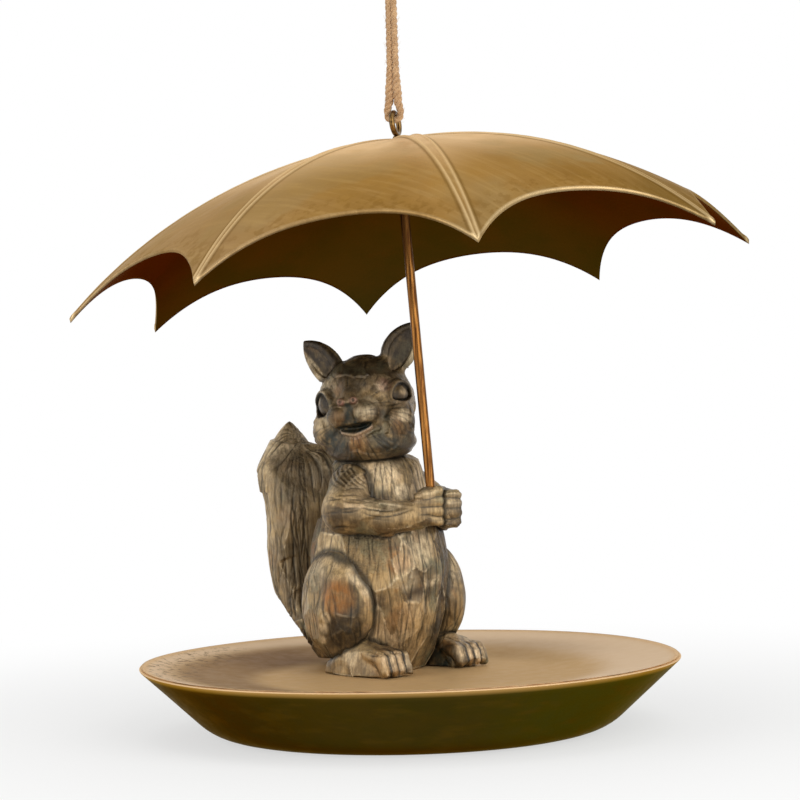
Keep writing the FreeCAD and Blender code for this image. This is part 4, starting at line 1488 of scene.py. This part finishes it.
def carved(kind, points, quads, flat, seed, keep=1.0):
    """Facets and tool lines on a casting; flat is its points unrolled, keep how much stays."""
    facets, lines = CARVING[kind]
    random = np.random.default_rng(seed)
    normals = normals_of(points, quads)
    cut, ridge, lot = chisel(points, normals, random, *facets)
    deep, groove = scratches(*flat, random, *lines)
    moved = points - normals * ((cut + deep) * keep)[:, None]
    return moved, ridge * keep, groove * keep, lot


def boxed(kind, middle):
    return [middle + np.array(corner) for corner in BOXES[kind]]


def unrolled(points, middle, radius):
    """Across and along coordinates round an upright axis."""
    angle = np.arctan2(points[:, 0] - middle[0], middle[1] - points[:, 1])
    return angle * radius, points[:, 2]


def crease(points, *others):
    """1 where a point lies close to a neighbouring casting; there the casting gets painted shade.
    """
    gap = np.min([field(points) for field in others], axis=0)
    return 1.0 - smoothstep(0.2, 1.9, np.abs(gap))


# How deep a casting reaches into its neighbours.
SINK = 1.6


def trimmed(field, *others):
    """A field cut off a little inside its neighbours."""

    def cut(points):
        result = field(points)
        for other in others:
            result = np.maximum(result, -(other(points) + SINK))
        return result

    return cut


def facet_paint(points, lot, ridge, groove, shade, patches, contrast=1.0):
    """Paint masks of a casting: facet tones, rubbed ridges, dark grooves, painted shade in creases,
    and patches.
    """
    masks = {
        "tone": lot,
        "ridge": 0.6 * ridge,
        "hollow": np.maximum(groove, 0.85 * shade),
        "copper": 0.3 * (lot > 0.86),
        "dark": 0.8 * contrast * (1.0 - smoothstep(0.18, 0.34, lot)),
        "pale": 0.45 * contrast * smoothstep(0.72, 0.92, lot),
    }
    for name, spots in patches.items():
        for amount, reach, *spot in spots:
            added(masks, name, amount * blob(points, np.array(spot), reach))
    return masks


def added(masks, name, values):
    masks[name] = np.maximum(masks.get(name, 0.0), values)


# Patches painted on each casting, by mask: strength, reach and place, in millimetres.
# Pale patches are partly painted highlights, and dark and hollow ones partly painted shade.
TORSO_PATCHES = {
    "pale": [
        (0.9, 4.5, 7.8, 9.9, 90.9), (0.8, 9.0, 3.2, 13.9, 98.0), (0.75, 8.0, 10.9, 3.2, 68.6),
        (0.5, 6.0, 4.0, 4.2, 57.0), (0.4, 7.0, 9.7, 3.9, 45.3),
    ],
    "copper": [
        (0.5, 6.0, 5.0, 11.0, 97.0), (0.85, 6.5, 1.4, 5.5, 63.7), (0.35, 8.0, 2.0, 6.5, 42.0),
    ],
    # dark: darker paint, partly painted shade
    "dark": [
        (0.6, 8.0, -5.6, 24.7, 94.9), (0.35, 12.0, -8.5, 16.0, 70.0),
        (0.75, 6.0, -5.2, 11.2, 47.6),
    ],
    "stipple": [(1.0, 15.0, -8.5, 16.0, 70.0)],
    "teal": [(0.3, 10.0, 20.0, 2.9, 56.9), (0.45, 9.0, 21.3, 6.9, 34.5)],
}
TAIL_PATCHES = {
    "pale": [
        (0.35, 60.0, 0.0, 72.0, 85.0), (1.0, 15.0, 5.0, 74.0, 113.0),
        (0.7, 9.0, 12.0, 70.0, 113.0), (0.25, 6.0, -3.5, 77.2, 97.0), (0.2, 9.0, -2.3, 70.6, 82.5),
    ],
    "dark": [(0.9, 11.0, 9.8, 67.1, 98.0), (0.6, 12.0, 4.0, 62.0, 72.0)],
    "copper": [
        (0.6, 5.0, 3.9, 69.2, 100.7), (0.55, 5.0, -0.2, 67.8, 79.6), (0.5, 5.0, -2.1, 74.3, 62.9),
    ],
    "teal": [(0.3, 12.0, 4.0, 62.0, 60.0)],
}
RIGHT_HAUNCH_PATCHES = {
    "pale": [
        (1.0, 7.0, -9.8, 15.7, 60.2), (0.7, 4.0, -8.6, 13.6, 53.0), (0.8, 3.0, -18.9, 26.4, 43.0),
        (0.8, 3.0, -17.9, 28.6, 39.0), (0.7, 3.0, -16.6, 31.0, 34.5),
        (0.5, 8.0, -17.0, 33.9, 60.0), (0.4, 6.0, -14.8, 27.0, 65.0),
    ],
    "copper": [(1.0, 9.0, -17.0, 21.5, 51.0)],
    # dark and hollow: darker paint, partly painted shade low on the haunch
    "dark": [(1.0, 13.0, -16.0, 19.0, 36.0), (0.6, 7.0, -21.0, 28.0, 57.0)],
    "hollow": [(0.6, 11.0, -16.0, 20.5, 35.0)],
    "teal": [(0.25, 8.0, -13.0, 17.0, 42.0)],
}
LEFT_HAUNCH_PATCHES = {
    "pale": [(0.5, 8.0, 35.5, 9.2, 60.0)],
    "dark": [(0.5, 8.0, 31.0, 7.0, 42.0)],
}
RIGHT_FOOT_PATCHES = {
    "copper": [(0.5, 9.0, -9.8, 1.5, 27.0)],
    "pale": [
        (0.6, 7.0, -10.0, -1.0, 29.0), (0.5, 6.0, -5.0, -1.0, 27.0),
        (0.55, 6.0, -14.5, 18.1, 28.0),
    ],
    "dark": [(0.5, 7.0, -13.5, 14.0, 22.5)],
}
LEFT_FOOT_PATCHES = {
    "copper": [(0.5, 9.0, 31.0, 4.0, 31.4), (0.5, 9.0, 34.5, -2.0, 27.3)],
    "pale": [
        (0.6, 7.0, 31.0, -1.0, 29.0), (0.8, 7.0, 37.0, -4.0, 27.0), (0.6, 5.0, 33.0, 0.5, 30.0),
    ],
    # teal: patina, and painted shade on the inner side of the foot
    "teal": [(1.0, 7.0, 26.5, 9.5, 24.5)],
}
RIGHT_ARM_PATCHES = {
    "pale": [
        (0.7, 7.0, -2.7, 6.4, 88.5), (0.6, 7.0, -8.5, 9.0, 88.0), (0.45, 7.0, -16.0, 24.0, 90.0),
        (0.5, 5.0, 7.9, -4.4, 92.0),
    ],
    "dark": [(0.5, 7.0, -7.8, 5.4, 77.5), (0.8, 9.0, -11.6, 20.4, 96.7)],
    "teal": [(0.3, 6.0, -12.0, 10.0, 76.5)],
}
LEFT_ARM_PATCHES = {
    "pale": [(0.4, 6.0, 17.0, -9.0, 88.0)],
    "dark": [(0.4, 5.0, 20.0, -8.0, 77.0)],
}


def build_torso():
    points, quads = sculpt(torso_field, *boxed("torso", FIGURE))
    points, ridge, groove, lot = carved("torso", points, quads, unrolled(points, FIGURE, TORSO), 11)
    shade = crease(points, head_field, *ARMS.values(), *HAUNCHES.values(), *FEET.values())
    masks = facet_paint(points, lot, ridge, groove, shade, TORSO_PATCHES)
    finish_casting("torso", points, quads, masks)


def build_tail():
    field = trimmed(tail_field, torso_field)
    points, quads = sculpt(field, *boxed("tail", FIGURE))
    flat = unrolled(points, FIGURE + TAIL_AXIS, TAIL_WIDE)
    points, ridge, groove, lot = carved("tail", points, quads, flat, 29)
    shade = crease(points, torso_field, head_field, *HAUNCHES.values())
    masks = facet_paint(points, lot, ridge, groove, shade, TAIL_PATCHES)
    finish_casting("tail", points, quads, masks)


def build_haunch(side, seed, patches):
    field = trimmed(HAUNCHES[side], torso_field)
    middle = haunch_middle(side)
    points, quads = sculpt(field, *boxed("haunch", middle))
    flat = unrolled(points, middle - [side * 4.0, 0, 0], HAUNCH_ROUND)
    points, ridge, groove, lot = carved("haunch", points, quads, flat, seed)
    shade = crease(points, torso_field, FEET[side])
    masks = facet_paint(points, lot, 0.4 * ridge, groove, shade, patches, 0.3)
    finish_casting(SIDES[side] + "_haunch", points, quads, masks)


def build_foot(side, seed, patches):
    field = trimmed(FEET[side], torso_field, HAUNCHES[side])
    middle = foot_middle(side)
    points, quads = sculpt(field, *boxed("foot", middle))
    flat = (points[:, 0], -points[:, 1])
    points, ridge, groove, lot = carved("foot", points, quads, flat, seed)
    slit = np.zeros(len(points))
    for share in TOE_GAPS:
        off = np.abs(points[:, 0] - middle[0] - share * FOOT_WIDE * 1.05)
        slit = np.maximum(slit, 1.0 - smoothstep(0.25, 0.75, off))
    slit *= smoothstep(0.27, 0.33, (middle[1] - points[:, 1]) / FOOT_LONG)
    shade = crease(points, torso_field, HAUNCHES[side])
    masks = facet_paint(points, lot, ridge, groove, shade, patches)
    added(masks, "hollow", slit)
    finish_casting(SIDES[side] + "_foot", points, quads, masks)


# Arcs of fur on the near shoulder: their middle, spacing and depth.
ARC_MIDDLE = np.array([-1.0, 17.0, 101.5])
ARC_SPACING = 1.9
ARC_DEPTH = 0.22


def shoulder_arcs(points, quads, groove):
    """Cut fine arcs of fur into the near shoulder, round a spot on the chest."""
    reach = np.linalg.norm(points - ARC_MIDDLE, axis=1)
    there = smoothstep(6.0, 8.0, reach) * (1.0 - smoothstep(16.5, 19.0, reach))
    there *= smoothstep(91.0, 95.0, points[:, 2])
    wave = np.cos(2 * math.pi * reach / ARC_SPACING + 0.5 * np.sin(0.35 * points[:, 2]))
    arcs = there * smoothstep(0.1, 0.9, wave)
    crests = there * smoothstep(0.3, 1.0, -wave)
    moved = points - normals_of(points, quads) * (ARC_DEPTH * arcs)[:, None]
    return moved, np.maximum(groove, 0.5 * arcs), crests


def build_arm(side, seed, patches):
    field = trimmed(ARMS[side], torso_field)
    middle = GRIP + FISTS[side][0] * ARM
    spots = np.array([spot for spot, _ in ARM_CHAINS[side]] + [middle])
    points, quads = sculpt(field, spots.min(axis=0) - ARM_MARGIN, spots.max(axis=0) + ARM_MARGIN)
    fist = blob(points, middle, 1.9 * ARM)
    flat = unrolled(points, spots[0], ARM_ROUND)[::-1]
    points, ridge, groove, lot = carved("arm", points, quads, flat, seed, 1.0 - 0.85 * fist)
    shade = crease(points, torso_field, head_field, ARMS[-side])
    crests = 0.0
    if side == RIGHT:
        points, groove, crests = shoulder_arcs(points, quads, groove)
    masks = facet_paint(points, lot, ridge, groove, shade, patches)
    added(masks, "pale", 0.5 * crests)
    away = (points - middle) / ARM
    level = away[:, 2] / finger_fan(side, away[:, 0])
    slit = np.max([np.exp(-(((level - gap) / 0.055) ** 2)) for gap in FINGER_GAPS], axis=0)
    added(masks, "hollow", 0.85 * slit * smoothstep(0.3, 0.6, -away[:, 1]) * (fist > 0))
    finish_casting(SIDES[side] + "_arm", points, quads, masks)


# Patches on the head, by mask: strength, reach and place, in head radii.
HEAD_PATCHES = {
    "copper": [
        (1.0, 0.27, 0.02, -1.0, -0.76), (0.75, 0.24, -0.24, -0.84, 0.40),
        (0.5, 0.20, -0.30, -0.72, 0.62), (0.45, 0.22, -0.22, -1.22, -0.18),
        (0.5, 0.30, 0.86, -0.72, -0.55),
    ],
    # pale: lighter paint, partly painted highlights
    "pale": [
        (0.6, 0.30, -0.50, -0.75, 0.56), (1.0, 0.36, -0.72, -0.64, 0.44),
        (0.7, 0.34, -0.76, -0.76, -0.12), (0.9, 0.26, 0.42, -1.02, 0.02),
        (0.45, 0.30, 0.36, -1.22, -0.16), (1.0, 0.24, 1.02, -0.67, -0.30),
        (0.8, 0.18, 0.62, -0.72, 0.34),
    ],
    "pink": [(0.5, 0.22, 0.66, -0.68, 0.36)],
    # dark: the dark forehead, and partly painted shade low on the cheeks and under the chin
    "dark": [
        (0.95, 0.60, 0.1, -0.75, 0.62), (0.95, 0.60, 0.2, -0.2, 1.0),
        (0.95, 0.34, 0.06, -0.95, 0.38), (0.9, 0.45, 0.92, -0.3, -0.55),
        (0.9, 0.45, 0.60, -0.6, -0.90), (0.9, 0.50, -0.60, -0.7, -0.70),
    ],
    "hollow": [(0.35, 0.50, 0.06, -0.85, 0.60)],
    "teal": [
        (0.8, 0.40, -0.45, -0.85, -0.62), (0.6, 0.40, 0.55, -0.75, -0.80),
        (0.8, 0.14, 0.0, -1.24, -0.06), (1.0, 0.18, 0.02, -1.20, -0.28),
        (0.9, 0.15, 0.12, -1.18, -0.38), (0.9, 0.15, -0.10, -1.20, -0.36),
    ],
}


# Paint of each eyeball: how dark it is, and the highlight's place, reach and strength.
EYE_PAINT = {
    RIGHT: (1.0, np.array([-0.10, 0.06]), 0.11, 1.0),
    LEFT: (0.8, np.array([0.02, 0.03]), 0.13, 0.7),
}
RAYS_FROM = np.array([0.62, -0.92, -0.10])


def cheek_rays(spots):
    """Fine lines of fur that spread over the left cheek from beside the nose."""
    away = spots - RAYS_FROM
    reach = np.linalg.norm(away, axis=1)
    turn = np.arctan2(away[:, 2], away[:, 0] + away[:, 1])
    there = smoothstep(0.12, 0.25, reach) * (1.0 - smoothstep(0.65, 0.85, reach))
    there *= (spots[:, 2] < -0.08) * smoothstep(0.60, 0.68, spots[:, 0])
    return there * smoothstep(0.2, 0.9, np.cos(34.0 * turn + 2.0 * np.sin(9.0 * reach)))


def paint_nose(masks, spots, side):
    """A nostril and the crease beside the muzzle."""
    nostril = mirrored(NOSTRIL, side) + [0.02 * side, -0.08, 0.0]
    added(masks, "pink", 0.6 * blob(spots, nostril, 0.13))
    added(masks, "hollow", 0.9 * blob(spots, nostril, 0.05))
    line = along_line(spots, CHEEK_LINE, side)
    added(masks, "teal", 0.8 * (1.0 - smoothstep(0.0, 0.06, line)))


def paint_eye(masks, spots, side):
    """A dark, striped eyeball with a highlight, its rim and the fold above its lid."""
    across, along, _, reach = eye_frame(spots, side)
    inside = np.where(reach > 0, almond(across, along, side), 1.0)
    dark, glint_spot, glint_reach, glint_strength = EYE_PAINT[side]
    ball = dark * (inside < -0.02)
    glint = blob(np.stack([across, along], axis=1), glint_spot, glint_reach) * (reach > 0)
    rim = np.exp(-(((inside + 0.02) / 0.036) ** 2))
    fold = 0.8 * np.exp(-(((inside - 0.095) / 0.018) ** 2)) * smoothstep(0.05, 0.15, along)
    stripes = 0.4 * smoothstep(0.2, 0.9, np.cos(80.0 * across)) * (inside < -0.03)
    added(masks, "hollow", np.max([rim, fold, stripes, 0.6 * ball], axis=0) * (1.0 - glint))
    masks["pale"] = masks["pale"] * smoothstep(-0.02, 0.02, inside)
    added(masks, "dark", ball)
    masks["dark"] = masks["dark"] * (1.0 - glint_strength * glint)
    added(masks, "pale", glint_strength * glint)


def paint_ear(masks, spots, side):
    """The dark hollow of an ear, with a pale band along one edge."""
    across, along, behind = ear_frame(spots, side)
    front = (behind < 0.02) * smoothstep(0.02, 0.15, along) * (np.abs(across) < 0.4)
    added(masks, "dark", front)
    added(masks, "hollow", 0.5 * front)
    start, full = EAR_BANDS[side]
    band = front * clamp01((across - start) / (full - start))
    for name in ("dark", "hollow"):
        masks[name] = masks[name] * (1.0 - 0.9 * band)
    added(masks, "pale", 0.55 * band)


def plain_skin(spots):
    """1 where the head stays free of carving: nose, eyes, ears and mouth."""
    plain = blob(spots, np.array([0.0, -1.15, 0.0]), 0.5)
    for side in SIDES:
        plain = np.maximum(plain, blob(spots, EYE_SPOTS[side], 0.44))
        across, along, behind = ear_frame(spots, side)
        ear = smoothstep(0.0, 0.2, along) * (np.abs(across) < 0.5) * (np.abs(behind) < 0.4)
        plain = np.maximum(plain, 0.9 * ear)
    return np.maximum(plain, 1.0 - smoothstep(0.02, 0.12, np.abs(mouth_shape(spots))))


def build_head():
    field = trimmed(head_field, torso_field)
    points, quads = sculpt(field, *boxed("head", HEAD_MIDDLE))
    spots = in_head(points)
    turn = np.arctan2(spots[:, 0], spots[:, 2] + 0.1)
    down = np.arctan2(np.hypot(spots[:, 0], spots[:, 2] + 0.1), -spots[:, 1] + 0.3)
    flat = (turn * HEAD * 0.75, down * HEAD)
    points, ridge, groove, lot = carved("head", points, quads, flat, 61, 1.0 - plain_skin(spots))
    spots = in_head(points)
    shade = crease(points, torso_field)
    masks = facet_paint(spots, lot, 0.35 * ridge, groove, shade, HEAD_PATCHES, 0.4)
    added(masks, "dark", np.full(len(points), 0.58))
    for side in SIDES:
        paint_nose(masks, spots, side)
        paint_eye(masks, spots, side)
        paint_ear(masks, spots, side)
    lip = 1.0 - smoothstep(0.0, 0.03, along_line(spots, LIP_LINE))
    mouth = mouth_shape(spots)
    added(masks, "pale", 0.6 * lip)
    added(masks, "pink", 0.4 * lip)
    added(masks, "hollow", 0.5 * cheek_rays(spots))
    added(masks, "teal", 1.0 - smoothstep(-0.01, 0.035, mouth))
    added(masks, "hollow", 0.3 * (1.0 - smoothstep(-0.06, 0.0, mouth)))
    added(masks, "teal", 0.9 * (1.0 - smoothstep(0.0, 0.05, taper(spots, *CLEFT))))
    finish_casting("head", points, quads, masks)


build_torso()
build_tail()
build_haunch(RIGHT, 33, RIGHT_HAUNCH_PATCHES)
build_haunch(LEFT, 37, LEFT_HAUNCH_PATCHES)
build_foot(RIGHT, 41, RIGHT_FOOT_PATCHES)
build_foot(LEFT, 43, LEFT_FOOT_PATCHES)
build_arm(RIGHT, 51, RIGHT_ARM_PATCHES)
build_arm(LEFT, 57, LEFT_ARM_PATCHES)
build_head()
